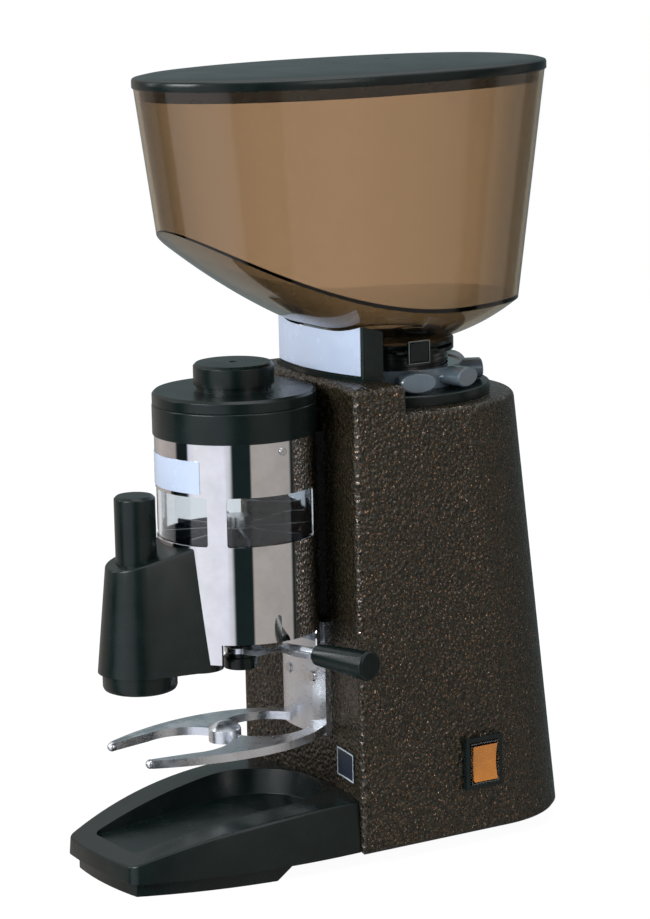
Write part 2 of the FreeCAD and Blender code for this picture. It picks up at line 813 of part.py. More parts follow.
def make_motor():
    axis = (0, 0)
    stator_top = d.stator_base + d.stator_height
    shield_low = d.stator_base - d.winding_height - d.shield_thickness
    shell_height = d.mill_base - d.shield_thickness - d.stator_base + d.winding_height
    shell_base = d.stator_base - d.winding_height
    keep("motor_shell", tube(
        "MotorShell", d.motor_radius + d.motor_shell_wall, d.motor_radius, shell_height, axis + (shell_base,)
    ))
    keep("stator", tube(
        "Stator", d.motor_radius - d.seat_gap, d.stator_bore, d.stator_height, axis + (d.stator_base,)
    ))
    rings = []
    for name, level in (("Low", d.stator_base - d.winding_height), ("High", stator_top)):
        rings.append(tube(
            "Winding" + name, d.winding_outer, d.winding_inner, d.winding_height, axis + (level,)
        ))
    keep("windings", group("Windings", rings))
    grip = d.shaft_radius + d.run_gap
    keep("rotor", turned("Rotor", [
        (grip, d.stator_base),
        (d.stator_bore - d.rotor_gap, d.stator_base),
        (d.stator_bore - d.rotor_gap, stator_top),
        (grip, stator_top),
    ], (0, 0, 0)))
    shaft_top = d.lower_carrier_base + d.lower_carrier_thickness + d.burr_nut_height
    keep("motor_shaft", rod("MotorShaft", d.shaft_radius, shaft_top - d.shaft_base, axis + (d.shaft_base,)))
    outer = d.motor_radius + d.motor_shell_wall
    seat = d.bearing_radius + d.seat_gap
    hole = d.shaft_radius + d.rotor_gap
    lip = d.shield_thickness - d.bearing_height
    bottom = (turned("BottomShield", [
        (hole, shield_low),
        (outer, shield_low),
        (outer, shield_low + d.shield_thickness),
        (seat, shield_low + d.shield_thickness),
        (seat, shield_low + lip),
        (hole, shield_low + lip),
    ], (0, 0, 0)))
    top_low = d.mill_base - d.shield_thickness
    top = (turned("TopShield", [
        (hole, d.mill_base),
        (hole, d.mill_base - lip),
        (seat, d.mill_base - lip),
        (seat, top_low),
        (outer, top_low),
        (outer, d.mill_base),
    ], (0, 0, 0)))
    keep("motor_shields", group("MotorShields", [bottom, top]))
    bearings = []
    for name, level in (("Low", shield_low + lip), ("High", top_low)):
        bearings.append(tube(
            "Bearing" + name, d.bearing_radius, d.shaft_radius + d.run_gap / 2, d.bearing_height,
            axis + (level,),
        ))
    keep("motor_bearings", group("MotorBearings", bearings))
    fan_top = shield_low - d.fan_gap
    plate = tube("FanPlate", d.fan_radius, grip, d.fan_plate, axis + (fan_top - d.fan_plate,))
    hub = tube("FanHub", d.fan_hub_radius, grip, d.fan_height, axis + (fan_top - d.fan_height,))
    blades = [
        block(
            "FanBlade%d" % index,
            (d.fan_blade_thickness, 2 * (d.fan_radius - d.overrun), d.fan_height - d.fan_plate),
            (0, 0, fan_top - d.fan_height),
        )
        for index in range(4)
    ]
    for index, blade in enumerate(blades):
        turned_blade = FreeCAD.Rotation(vector(0, 0, 1), 45.0 * index)
        corner = turned_blade.multVec(vector(-d.fan_blade_thickness / 2, -(d.fan_radius - d.overrun), 0))
        blade.setExpression("Placement.Base.x", None)
        blade.setExpression("Placement.Base.y", None)
        blade.Placement = FreeCAD.Placement(
            vector(corner.x, corner.y, fan_top - d.fan_height), turned_blade
        )
    bore = rod("FanBore", grip, 4 * d.fan_height, axis + (fan_top - 2 * d.fan_height,))
    fan = cut("CoolingFan", join("FanBlank", [plate, hub] + blades), [bore])
    keep("cooling_fan", fan)
    keep("capacitor", rod(
        "Capacitor", d.capacitor_radius, d.capacitor_height,
        (-d.capacitor_side, d.capacitor_rear, d.casing_base_height),
    ))
    keep("terminal_block", block(
        "TerminalBlock", (d.terminal_width, d.terminal_depth, d.terminal_height),
        (d.terminal_side, d.terminal_rear, d.casing_base_height),
    ))


def make_mill():
    outer = d.mill_bore + d.mill_wall
    floor_top = d.mill_base + d.mill_floor
    blank = turned("MillBlank", [
        (d.mill_shaft_hole, d.mill_base),
        (outer, d.mill_base),
        (outer, SHELF - d.mill_flange_thickness),
        (d.mill_flange_radius, SHELF - d.mill_flange_thickness),
        (d.mill_flange_radius, SHELF),
        (outer, SHELF),
        (outer, d.mill_top),
        (d.mill_bore, d.mill_top),
        (d.mill_bore, floor_top),
        (d.mill_shaft_hole, floor_top),
    ], (0, 0, 0))
    gap = d.seat_gap
    mouth = block(
        "MillMouth",
        (2 * (d.chute_half_width + d.chute_wall + gap), 2 * outer,
         d.chute_high - d.chute_low + 2 * (d.chute_wall + gap)),
        (0, -outer, d.chute_low - d.chute_wall - gap),
    )
    keep("mill_body", cut("MillBody", blank, [mouth]))
    top = d.lower_carrier_base + d.lower_carrier_thickness
    grip = d.shaft_radius + d.run_gap
    keep("lower_burr_carrier", turned("LowerBurrCarrier", [
        (grip, floor_top + d.wheel_lift),
        (d.lower_carrier_hub, floor_top + d.wheel_lift),
        (d.lower_carrier_hub, d.lower_carrier_base),
        (d.lower_carrier_radius, d.lower_carrier_base),
        (d.lower_carrier_radius, top),
        (grip, top),
    ], (0, 0, 0)))
    keep("lower_burr", turned("LowerBurr", burr_outline(top, 1), (0, 0, 0)))
    upper_low = top + d.burr_thickness + d.burr_gap
    keep("upper_burr", turned("UpperBurr", burr_outline(upper_low + d.burr_thickness, -1), (0, 0, 0)))
    nut = tube(
        "BurrNut", d.burr_nut_radius, grip, d.burr_nut_height, (0, 0, top)
    )
    keep("burr_nut", nut)
    carrier_low = upper_low + d.burr_thickness
    outline = [
        (d.carrier_inner_bore, carrier_low),
        (d.mill_bore - d.run_gap, carrier_low),
        (d.mill_bore - d.run_gap, d.carrier_flange_top),
        (d.neck_radius - d.neck_rib, d.carrier_flange_top),
    ]
    ribs_low = d.ring_base + d.ring_height + d.neck_rib
    for index in range(SIZES["neck_ribs"]):
        level = ribs_low + 2 * index * d.neck_rib_height
        outline += [
            (d.neck_radius - d.neck_rib, level),
            (d.neck_radius, level),
            (d.neck_radius, level + d.neck_rib_height),
            (d.neck_radius - d.neck_rib, level + d.neck_rib_height),
        ]
    outline += [
        (d.neck_radius - d.neck_rib, d.neck_top),
        (d.neck_bore, d.neck_top),
        (d.neck_bore, d.neck_bore_base),
        (d.carrier_inner_bore, d.neck_bore_base),
    ]
    keep("upper_burr_carrier", turned("UpperBurrCarrier", outline, (0, 0, 0)))


def burr_outline(back, way):
    """A flat grinding burr: a ring whose working face dishes towards its bore."""
    face = back + way * d.burr_thickness
    dished = face - way * d.burr_thickness * DISH_DEPTH_SHARE
    flat_start = d.burr_bore + (d.burr_radius - d.burr_bore) * DISH_START_SHARE
    return [
        (d.burr_bore, back),
        (d.burr_radius, back),
        (d.burr_radius, face),
        (flat_start, face),
        (d.burr_bore, dished),
    ]


def make_ring():
    """The graduated disc on the casing's shelf, and the lobed ring that sets the grind."""
    top = d.casing_step_height + d.disc_thickness
    inner = d.mill_bore + d.mill_wall + d.mill_hole_gap
    disc = turned("GraduatedDisc", [
        (inner, d.casing_step_height),
        (d.disc_radius, d.casing_step_height),
        (d.disc_radius, top - d.disc_chamfer),
        (d.disc_radius - d.disc_chamfer, top),
        (inner, top),
    ], (0, 0, 0))
    keep("graduated_disc", disc)
    hub = Part.makeCylinder(float(d.ring_radius), float(d.ring_height), vector(0, 0, d.ring_base))
    lobes = [hub]
    half_width = float(d.lobe_width) / 2
    half_height = float(d.ring_height) / 2
    oval = Part.Ellipse(vector(0, 0, 0), half_width, half_height)
    for index in range(SIZES["lobe_count"]):
        angle = SIZES["lobe_first_angle"] + 360.0 * index / SIZES["lobe_count"]
        face = Part.Face(Part.Wire([oval.toShape()]))
        bar = face.extrude(vector(0, 0, d.lobe_reach))
        edge = [each for each in bar.Edges if each.BoundBox.ZMin > float(d.ring_radius)]
        bar = bar.makeChamfer(float(d.disc_chamfer), edge)
        bar.Placement = FreeCAD.Placement(
            vector(0, 0, d.ring_base + d.ring_height / 2),
            FreeCAD.Rotation(vector(0, 0, 1), angle + 90).multiply(FreeCAD.Rotation(vector(1, 0, 0), 90)),
        )
        lobes.append(bar)
    ring = lobes[0].multiFuse(lobes[1:])
    bore = rod(
        "RingBore", d.neck_radius + d.run_gap, 2 * d.ring_height, (0, 0, d.ring_base - d.ring_height / 2)
    )
    groove = [
        cut_ring(
            "RingDish", d.ring_radius - d.disc_chamfer, d.neck_radius,
            d.ring_base + d.ring_height - d.disc_chamfer, d.overrun,
        )
    ]
    keep("adjusting_ring", cut("AdjustingRing", shaped("RingBlank", ring), [bore] + groove))


def cut_ring(name, outer, inner, level, height):
    return tube(name, outer, inner, height, (0, 0, level))


def fan_sector(radius, start, end, low, high):
    """A wedge about the doser axis, between two plan angles."""
    height = float(high) - float(low)
    wedge = Part.makeCylinder(
        float(radius), height, vector(0, DOSER_Y, low), vector(0, 0, 1), float(end) - float(start)
    )
    wedge.rotate(vector(0, DOSER_Y, low), vector(0, 0, 1), float(start))
    return wedge


def saddle_box(name, half_width, low, high, gap=0):
    """A box that crosses the walls of casing and doser, at the doser's back."""
    width = 2 * (half_width + gap)
    middle = -d.casing_front + d.casing_hollow
    return block(name, (width, 8 * d.overrun, high - low + 2 * gap), (0, middle, low - gap))


def make_doser():
    inner = d.tube_radius - d.tube_wall
    reach = d.tube_radius * 2
    blank = tube("TubeBlank", d.tube_radius, inner, d.tube_top - d.tube_base, (0, DOSER_Y, d.tube_base))
    cutters = []
    for name, middle in (("Right", 0), ("Front", -90), ("Left", 180)):
        window = fan_sector(
            reach, middle - SIZES["window_half_angle"], middle + SIZES["window_half_angle"],
            d.window_low, d.window_high,
        )
        core = Part.makeCylinder(
            float(inner) / 2, float(d.window_high - d.window_low), vector(0, DOSER_Y, d.window_low)
        )
        window = window.cut(core)
        corners = [edge for edge in window.Edges if is_outward_line(edge)]
        window = window.makeFillet(float(d.knob_round), corners)
        cutters.append(shaped("Window" + name, window))
    skirt = fan_sector(
        reach, SIZES["skirt_cut_start"], SIZES["skirt_cut_end"], d.tube_base - d.overrun, d.skirt_cut_top
    )
    cutters.append(shaped("SkirtCut", skirt))
    cutters.append(rod(
        "TubeFootRoom", d.tamper_bore, d.tamper_bore_top - d.tube_base + d.overrun,
        (0, TAMPER_Y, d.tube_base - d.overrun),
    ))
    gap = d.seat_gap
    cutters.append(saddle_box("TubeChuteHole", d.chute_half_width + d.chute_wall, d.chute_low - d.chute_wall,
                              d.chute_high + d.chute_wall, gap))
    level = d.dome_screw_level
    places = screw_places()
    for index, angle in enumerate(places):
        cutters.append(radial_rod("TubeScrewHole%d" % index, d.screw_hole_radius, angle, level,
                                  inner - d.overrun, d.tube_radius + d.overrun))
    keep("doser_tube", cut("DoserTube", blank, cutters))

    liner_outer = inner - gap
    liner = tube(
        "LinerBlank", liner_outer, liner_outer - d.liner_wall, d.liner_top - d.liner_base,
        (0, DOSER_Y, d.liner_base),
    )
    liner_cuts = [saddle_box(
        "LinerChuteHole", d.chute_half_width + d.chute_wall, d.chute_low - d.chute_wall,
        d.chute_high + d.chute_wall, gap,
    )]
    for index, angle in enumerate(places):
        liner_cuts.append(radial_rod("LinerScrewHole%d" % index, d.screw_hole_radius, angle, level,
                                     inner - 2 * d.overrun, inner + d.overrun))
    keep("doser_liner", cut("DoserLiner", liner, liner_cuts))

    screws = []
    for index, angle in enumerate(places):
        head = radial_rod("DomeHead%d" % index, d.dome_screw_radius, angle, level,
                          d.tube_radius, d.tube_radius + d.dome_screw_height)
        shank = radial_rod("DomeShank%d" % index, d.screw_radius, angle, level,
                           liner_outer - d.liner_wall, d.tube_radius + d.run_gap)
        screws.append(join("DomeScrew%d" % index, [head, shank]))
    keep("doser_screws", group("DoserScrews", screws))

    collar_top = d.tube_top + d.collar_height
    keep("doser_collar", turned("DoserCollar", [
        (inner, d.tube_top),
        (d.collar_radius, d.tube_top),
        (d.collar_radius, collar_top - d.disc_chamfer),
        (d.collar_radius - d.disc_chamfer, collar_top),
        (inner, collar_top),
    ], (0, DOSER_Y, 0)))

    plug = inner - d.rotor_gap
    lid_top = collar_top + d.lid_thickness
    knob_low = lid_top + d.knob_neck_height
    knob_top = knob_low + d.knob_height
    keep("doser_lid", turned("DoserLid", [
        (0, lid_top - d.lid_wall),
        (plug - d.lid_wall, lid_top - d.lid_wall),
        (plug - d.lid_wall, collar_top - d.lid_plug_depth),
        (plug, collar_top - d.lid_plug_depth),
        (plug, collar_top),
        (d.lid_radius, collar_top),
        (d.lid_radius, lid_top - d.knob_round),
        (d.lid_radius - d.knob_round, lid_top),
        (d.knob_neck_radius, lid_top),
        (d.knob_neck_radius, knob_low),
        (d.knob_radius, knob_low),
        (d.knob_radius, knob_top - d.knob_round),
        (d.knob_radius - d.knob_round, knob_top),
        (d.knob_dimple_radius, knob_top),
        (d.knob_dimple_radius, knob_top - d.knob_dimple_depth),
        (0, knob_top - d.knob_dimple_depth),
    ], (0, DOSER_Y, 0)))

    floor_radius = inner - gap
    blank = tube(
        "FloorBlank", floor_radius, d.doser_shaft_radius + d.run_gap, d.floor_thickness,
        (0, DOSER_Y, d.floor_base),
    )
    drop = rod(
        "FloorDrop", d.outlet_throat, 2 * d.overrun + d.floor_thickness,
        (0, DOSER_Y - d.outlet_reach, d.floor_base - d.overrun),
    )
    keep("doser_floor", cut("DoserFloor", blank, [drop]))

    blank = tube(
        "BaseBlank", floor_radius, d.sleeve_radius + d.run_gap, d.doser_base_thickness,
        (0, DOSER_Y, d.doser_base_height),
    )
    hole = rod(
        "BaseDrop", d.outlet_radius + d.outlet_wall + gap, 2 * d.overrun + d.doser_base_thickness,
        (0, DOSER_Y - d.outlet_reach, d.doser_base_height - d.overrun),
    )
    keep("doser_base", cut("DoserBase", blank, [hole]))

    keep("outlet_spout", turned("OutletSpout", [
        (d.outlet_radius, d.outlet_base),
        (d.outlet_radius + d.outlet_wall, d.outlet_base),
        (d.outlet_radius + d.outlet_wall, d.floor_base - d.overrun),
        (d.outlet_throat + d.outlet_wall, d.floor_base),
        (d.outlet_throat, d.floor_base),
        (d.outlet_radius, d.floor_base - d.overrun),
    ], (0, DOSER_Y - d.outlet_reach, 0)))


def is_outward_line(edge):
    """A straight level edge, such as a corner of a window's cutter."""
    level = edge.BoundBox.ZLength < float(d.run_gap)
    return level and edge.Curve.TypeId == "Part::GeomLine"


def screw_places():
    """Plan angles of the screws that hold the liner and the collar."""
    return (SIZES["dome_screw_angle"], 180 - SIZES["dome_screw_angle"])


def radial_rod(name, radius, angle, level, start, end):
    """A rod that points outward from the doser axis at a plan angle."""
    away = FreeCAD.Rotation(vector(0, 0, 1), float(angle)).multiply(FreeCAD.Rotation(vector(0, 1, 0), 90))
    direction = away.multVec(vector(0, 0, 1))
    thing = doc.addObject("Part::Cylinder", name)
    bind(thing, "Radius", radius)
    bind(thing, "Height", end - start)
    base = vector(0, DOSER_Y, level) + direction * float(start)
    thing.Placement = FreeCAD.Placement(base, away)
    return thing


def make_portion_wheel():
    low = d.floor_base + d.floor_thickness + d.wheel_lift
    hub = rod("WheelHub", d.wheel_hub_radius, d.wheel_height, (0, DOSER_Y, low))
    vanes = []
    for index in range(SIZES["vane_count"]):
        turn = FreeCAD.Rotation(vector(0, 0, 1), 360.0 * (index + 0.5) / SIZES["vane_count"])
        vane = doc.addObject("Part::Box", "Vane%d" % index)
        bind(vane, "Length", d.wheel_radius)
        bind(vane, "Width", d.vane_thickness)
        bind(vane, "Height", d.wheel_height)
        corner = turn.multVec(vector(0, -d.vane_thickness / 2, 0))
        vane.Placement = FreeCAD.Placement(vector(corner.x, DOSER_Y + corner.y, low), turn)
        vanes.append(vane)
    bore = rod(
        "WheelBore", d.doser_shaft_radius + d.run_gap, d.wheel_height + 2 * d.overrun,
        (0, DOSER_Y, low - d.overrun),
    )
    keep("portion_wheel", cut("PortionWheel", join("WheelBlank", [hub] + vanes), [bore]))
    wheel_top = low + d.wheel_height
    shaft_low = d.lever_hub_low + d.rotor_gap
    keep("doser_shaft", turned("DoserShaft", [
        (0, shaft_low),
        (d.doser_shaft_radius, shaft_low),
        (d.doser_shaft_radius, wheel_top),
        (d.doser_nut_radius, wheel_top),
        (d.doser_nut_radius, wheel_top + d.doser_nut_height),
        (0, wheel_top + d.doser_nut_height),
    ], (0, DOSER_Y, 0)))
    keep("ratchet_wheel", tube(
        "RatchetWheel", d.ratchet_radius, d.doser_shaft_radius + d.run_gap, d.ratchet_thickness,
        (0, DOSER_Y, d.ratchet_base),
    ))


def make_lever():
    low = d.lever_hub_low
    bore = d.doser_shaft_radius + d.run_gap
    arm_top = d.arm_base + d.arm_thickness
    pawl_top = d.pawl_base + d.pawl_thickness
    keep("lever_hub", turned("LeverHub", [
        (bore, low),
        (d.lever_disc_radius, low),
        (d.lever_disc_radius, low + d.lever_disc_height),
        (d.lever_cap_radius, low + d.lever_disc_height),
        (d.lever_cap_radius, d.arm_base),
        (d.sleeve_radius, d.arm_base),
        (d.sleeve_radius, pawl_top),
        (bore, pawl_top),
    ], (0, DOSER_Y, 0)))
    keep("pawl_plate", tube(
        "PawlPlate", d.pawl_radius, d.sleeve_radius + d.run_gap, d.pawl_thickness, (0, DOSER_Y, d.pawl_base)
    ))
    keep("return_spring", tube(
        "ReturnSpring", d.spring_radius, d.spring_bore, d.spring_height,
        (0, DOSER_Y, d.doser_base_height + d.doser_base_thickness),
    ))
    reach = float(d.arm_reach)
    root = float(d.arm_root_half_width)
    waist = float(d.arm_waist_half_width)
    tip = float(d.arm_tip_half_width)
    knee = float(d.lever_disc_radius) * KNEE_SHARE
    waist_end = reach * WAIST_END_SHARE
    tip_start = reach * TIP_START_SHARE
    tip_end = tip * TIP_WIDTH_SHARE
    plan = [
        (0, -root), (knee * ROOT_END_SHARE, -root), (knee, -waist), (waist_end, -waist),
        (tip_start, -tip), (reach, -tip_end), (reach, tip_end), (tip_start, tip),
        (waist_end, waist), (knee, waist), (knee * ROOT_END_SHARE, root), (0, root),
    ]
    corners = [vector(x, y, 0) for x, y in plan]
    corners.append(corners[0])
    face = Part.Face(Part.makePolygon(corners))
    rise = float(d.arm_rise)
    thickness = float(d.arm_thickness)
    base = float(d.arm_base)
    side = [
        vector(0, 0, base), vector(knee, 0, base), vector(waist_end, 0, base + rise),
        vector(reach, 0, base + rise), vector(reach, 0, base + rise + thickness),
        vector(waist_end, 0, base + rise + thickness), vector(knee, 0, base + thickness),
        vector(0, 0, base + thickness), vector(0, 0, base),
    ]
    wide = 4 * tip
    strip = Part.Face(Part.makePolygon(side)).extrude(vector(0, wide, 0))
    strip.translate(vector(0, -wide / 2, 0))
    top = Part.makeCylinder(root * ARM_DISC_SHARE, thickness, vector(0, 0, base))
    bar = face.extrude(vector(0, 0, 2 * (base + rise))).common(strip)
    tang_axis = float(d.handle_axis_height)
    tang = Part.makeCylinder(
        float(d.tang_radius), float(d.tang_depth) + reach - tip_start,
        vector(tip_start, 0, tang_axis), vector(1, 0, 0),
    )
    arm = bar.fuse(top).fuse(tang).removeSplitter()
    swing = SIZES["lever_angle"]
    arm.rotate(vector(0, 0, 0), vector(0, 0, 1), swing)
    arm.translate(vector(0, DOSER_Y, 0))
    eye = rod("ArmEye", d.sleeve_radius + d.run_gap, 4 * d.overrun, (0, DOSER_Y, d.arm_base - d.overrun))
    keep("lever_arm", cut("LeverArm", shaped("ArmBlank", arm), [eye]))
    long = d.handle_end - d.handle_start
    blank = turned("HandleBlank", [
        (0, 0),
        (d.handle_small_radius - d.handle_round, 0),
        (d.handle_small_radius, d.handle_round),
        (d.handle_large_radius, long - d.handle_round),
        (d.handle_large_radius - d.handle_round, long),
        (0, long),
    ], (0, 0, 0))
    socket = rod("HandleSocket", d.tang_radius + d.run_gap, d.tang_depth, (0, 0, 0))
    handle = cut("LeverHandle", blank, [socket])
    away = FreeCAD.Rotation(vector(0, 0, 1), swing).multiply(FreeCAD.Rotation(vector(0, 1, 0), 90))
    start = away.multVec(vector(0, 0, 1)) * float(d.handle_start)
    handle.Placement = FreeCAD.Placement(
        start + vector(0, DOSER_Y, d.handle_axis_height), away
    )
    keep("lever_handle", handle)


def make_saddle_and_chute():
    gap = d.seat_gap
    blank = saddle_box("SaddleBlank", d.saddle_half_width, d.saddle_low, d.saddle_high)
    doser = rod("SaddleDoserSide", d.tube_radius + gap, d.tube_top, (0, DOSER_Y, d.tube_base / 2))
    casing = casing_block(d.casing_base_height, d.casing_top_height, -gap / 2)
    passage = saddle_box("SaddlePassage", d.chute_half_width + d.chute_wall, d.chute_low - d.chute_wall,
                         d.chute_high + d.chute_wall, gap)
    keep("doser_saddle", cut("DoserSaddle", blank, [doser, shaped("SaddleCasingSide", casing), passage]))
    start = DOSER_Y + d.tube_radius - d.tube_wall - d.liner_wall - gap
    length = -d.mill_bore - d.mill_wall / 2 - start
    middle = start + length / 2
    outer = block(
        "ChuteOuter",
        (2 * (d.chute_half_width + d.chute_wall), length, d.chute_high - d.chute_low + 2 * d.chute_wall),
        (0, middle, d.chute_low - d.chute_wall),
    )
    hollow = block(
        "ChuteHollow", (2 * d.chute_half_width, length + 2 * d.overrun, d.chute_high - d.chute_low),
        (0, middle, d.chute_low),
    )
    keep("coffee_chute", cut("CoffeeChute", outer, [hollow]))


def make_doser_label():
    outer = d.tube_radius + d.label_thickness
    half = SIZES["label_half_angle"]
    ring = fan_sector(outer, -90 - half, -90 + half, d.label_low, d.label_high)
    core = rod("LabelCore", d.tube_radius + d.run_gap, d.tube_top, (0, DOSER_Y, d.tube_base))
    keep("doser_label", cut("DoserLabel", shaped("LabelBlank", ring), [core]))


def web_point(radius, angle):
    """A point on the doser tube at a plan angle either side of straight ahead."""
    x = float(radius) * math.cos(math.radians(float(angle)))
    y = float(DOSER_Y) - float(radius) * math.sin(math.radians(float(angle)))
    return x, y


def bracket_section(level, radius, angle):
    """A round nose about the tamper axis, whose sides run back to the doser tube."""
    x, y = web_point(d.tube_radius, angle)
    nose = float(radius)
    centre = float(TAMPER_Y)
    away = math.hypot(x, y - centre)
    lean = math.atan2(y - centre, x) - math.acos(nose / away)
    tx = nose * math.cos(lean)
    ty = centre + nose * math.sin(lean)
    back = float(DOSER_Y)
    return Part.Wire([
        line(vector(-x, y, level), vector(-tx, ty, level)),
        arc(vector(-tx, ty, level), vector(0, centre - nose, level), vector(tx, ty, level)),
        line(vector(tx, ty, level), vector(x, y, level)),
        line(vector(x, y, level), vector(x, back, level)),
        line(vector(x, back, level), vector(-x, back, level)),
        line(vector(-x, back, level), vector(-x, y, level)),
    ])


def make_tamper():
    gap = d.seat_gap
    body = Part.makeLoft([
        bracket_section(d.bracket_low, d.bracket_low_radius, SIZES["web_low_angle"]),
        bracket_section(d.bracket_rear_top + d.overrun, d.bracket_high_radius, SIZES["web_high_angle"]),
    ], True, True)
    front = float(TAMPER_Y - d.bracket_high_radius)
    run = float(DOSER_Y - d.tube_radius + d.overrun) - front
    slope = float(d.bracket_rear_top - d.bracket_front_top) / run
    far = float(d.tube_radius)
    wedge = Part.Face(Part.makePolygon([
        vector(-far, front - far, float(d.bracket_front_top) - slope * far),
        vector(-far, front + 3 * far, float(d.bracket_front_top) + slope * 3 * far),
        vector(-far, front + 3 * far, float(d.bracket_front_top) + 4 * far),
        vector(-far, front - far, float(d.bracket_front_top) + 4 * far),
        vector(-far, front - far, float(d.bracket_front_top) - slope * far),
    ])).extrude(vector(2 * far, 0, 0))
    body = body.cut(wedge)
    rim = [edge for edge in body.Edges if is_bracket_top_edge(edge, wedge)]
    body = body.makeFillet(float(d.bracket_round), rim)
    tools = [
        rod("BracketTubeSide", d.tube_radius + gap, d.tube_top, (0, DOSER_Y, d.tube_base / 2)),
        rod("BracketFootBore", d.tamper_bore, d.tamper_bore_top - d.bracket_low + d.overrun,
            (0, TAMPER_Y, d.bracket_low - d.overrun)),
        rod("BracketRodBore", d.tamper_rod_radius + d.run_gap, d.tube_top, (0, TAMPER_Y, d.bracket_low)),
        rod("BracketCapSeat", d.tamper_cap_radius + gap, d.tube_top, (0, TAMPER_Y, d.bracket_front_top)),
    ]
    keep("tamper_bracket", cut("TamperBracket", shaped("BracketBlank", body), tools))
    foot_top = d.tamper_foot_low + d.tamper_foot_height
    facet = d.tamper_foot_round * FOOT_FACET_SHARE
    keep("tamper_foot", turned("TamperFoot", [
        (0, d.tamper_foot_low),
        (d.tamper_foot_radius - d.tamper_foot_round, d.tamper_foot_low),
        (d.tamper_foot_radius - facet, d.tamper_foot_low + facet),
        (d.tamper_foot_radius, d.tamper_foot_low + d.tamper_foot_round),
        (d.tamper_foot_radius, foot_top),
        (0, foot_top),
    ], (0, TAMPER_Y, 0)))
    stop_low = d.tamper_rod_top - d.tamper_stop_height
    keep("tamper_rod", turned("TamperRod", [
        (0, foot_top),
        (d.tamper_rod_radius, foot_top),
        (d.tamper_rod_radius, stop_low),
        (d.tamper_stop_radius, stop_low),
        (d.tamper_stop_radius, d.tamper_rod_top),
        (0, d.tamper_rod_top),
    ], (0, TAMPER_Y, 0)))
    roof = d.tamper_cap_top - d.tamper_cap_wall
    seat = d.bracket_front_top
    bore = d.tamper_cap_radius - d.tamper_cap_wall
    keep("tamper_cap", turned("TamperCap", [
        (bore, seat),
        (d.tamper_cap_radius, seat),
        (d.tamper_cap_radius, d.tamper_cap_top - d.tamper_cap_round),
        (d.tamper_cap_radius - d.tamper_cap_round, d.tamper_cap_top),
        (0, d.tamper_cap_top),
        (0, roof),
        (bore, roof),
    ], (0, TAMPER_Y, 0)))
    spring_low = d.tamper_rod_top
    keep("tamper_spring", tube(
        "TamperSpring", d.tamper_stop_radius - d.rotor_gap, d.tamper_rod_radius, roof - spring_low,
        (0, TAMPER_Y, spring_low),
    ))


def is_bracket_top_edge(edge, wedge):
    """An edge of the sloping top, apart from the stretch inside the doser tube."""
    middle = edge.valueAt((edge.FirstParameter + edge.LastParameter) / 2)
    on_top = wedge.distToShape(Part.Vertex(middle))[0] < float(d.run_gap)
    return on_top and middle.y < float(DOSER_Y - d.tube_radius) + float(d.overrun) * 2


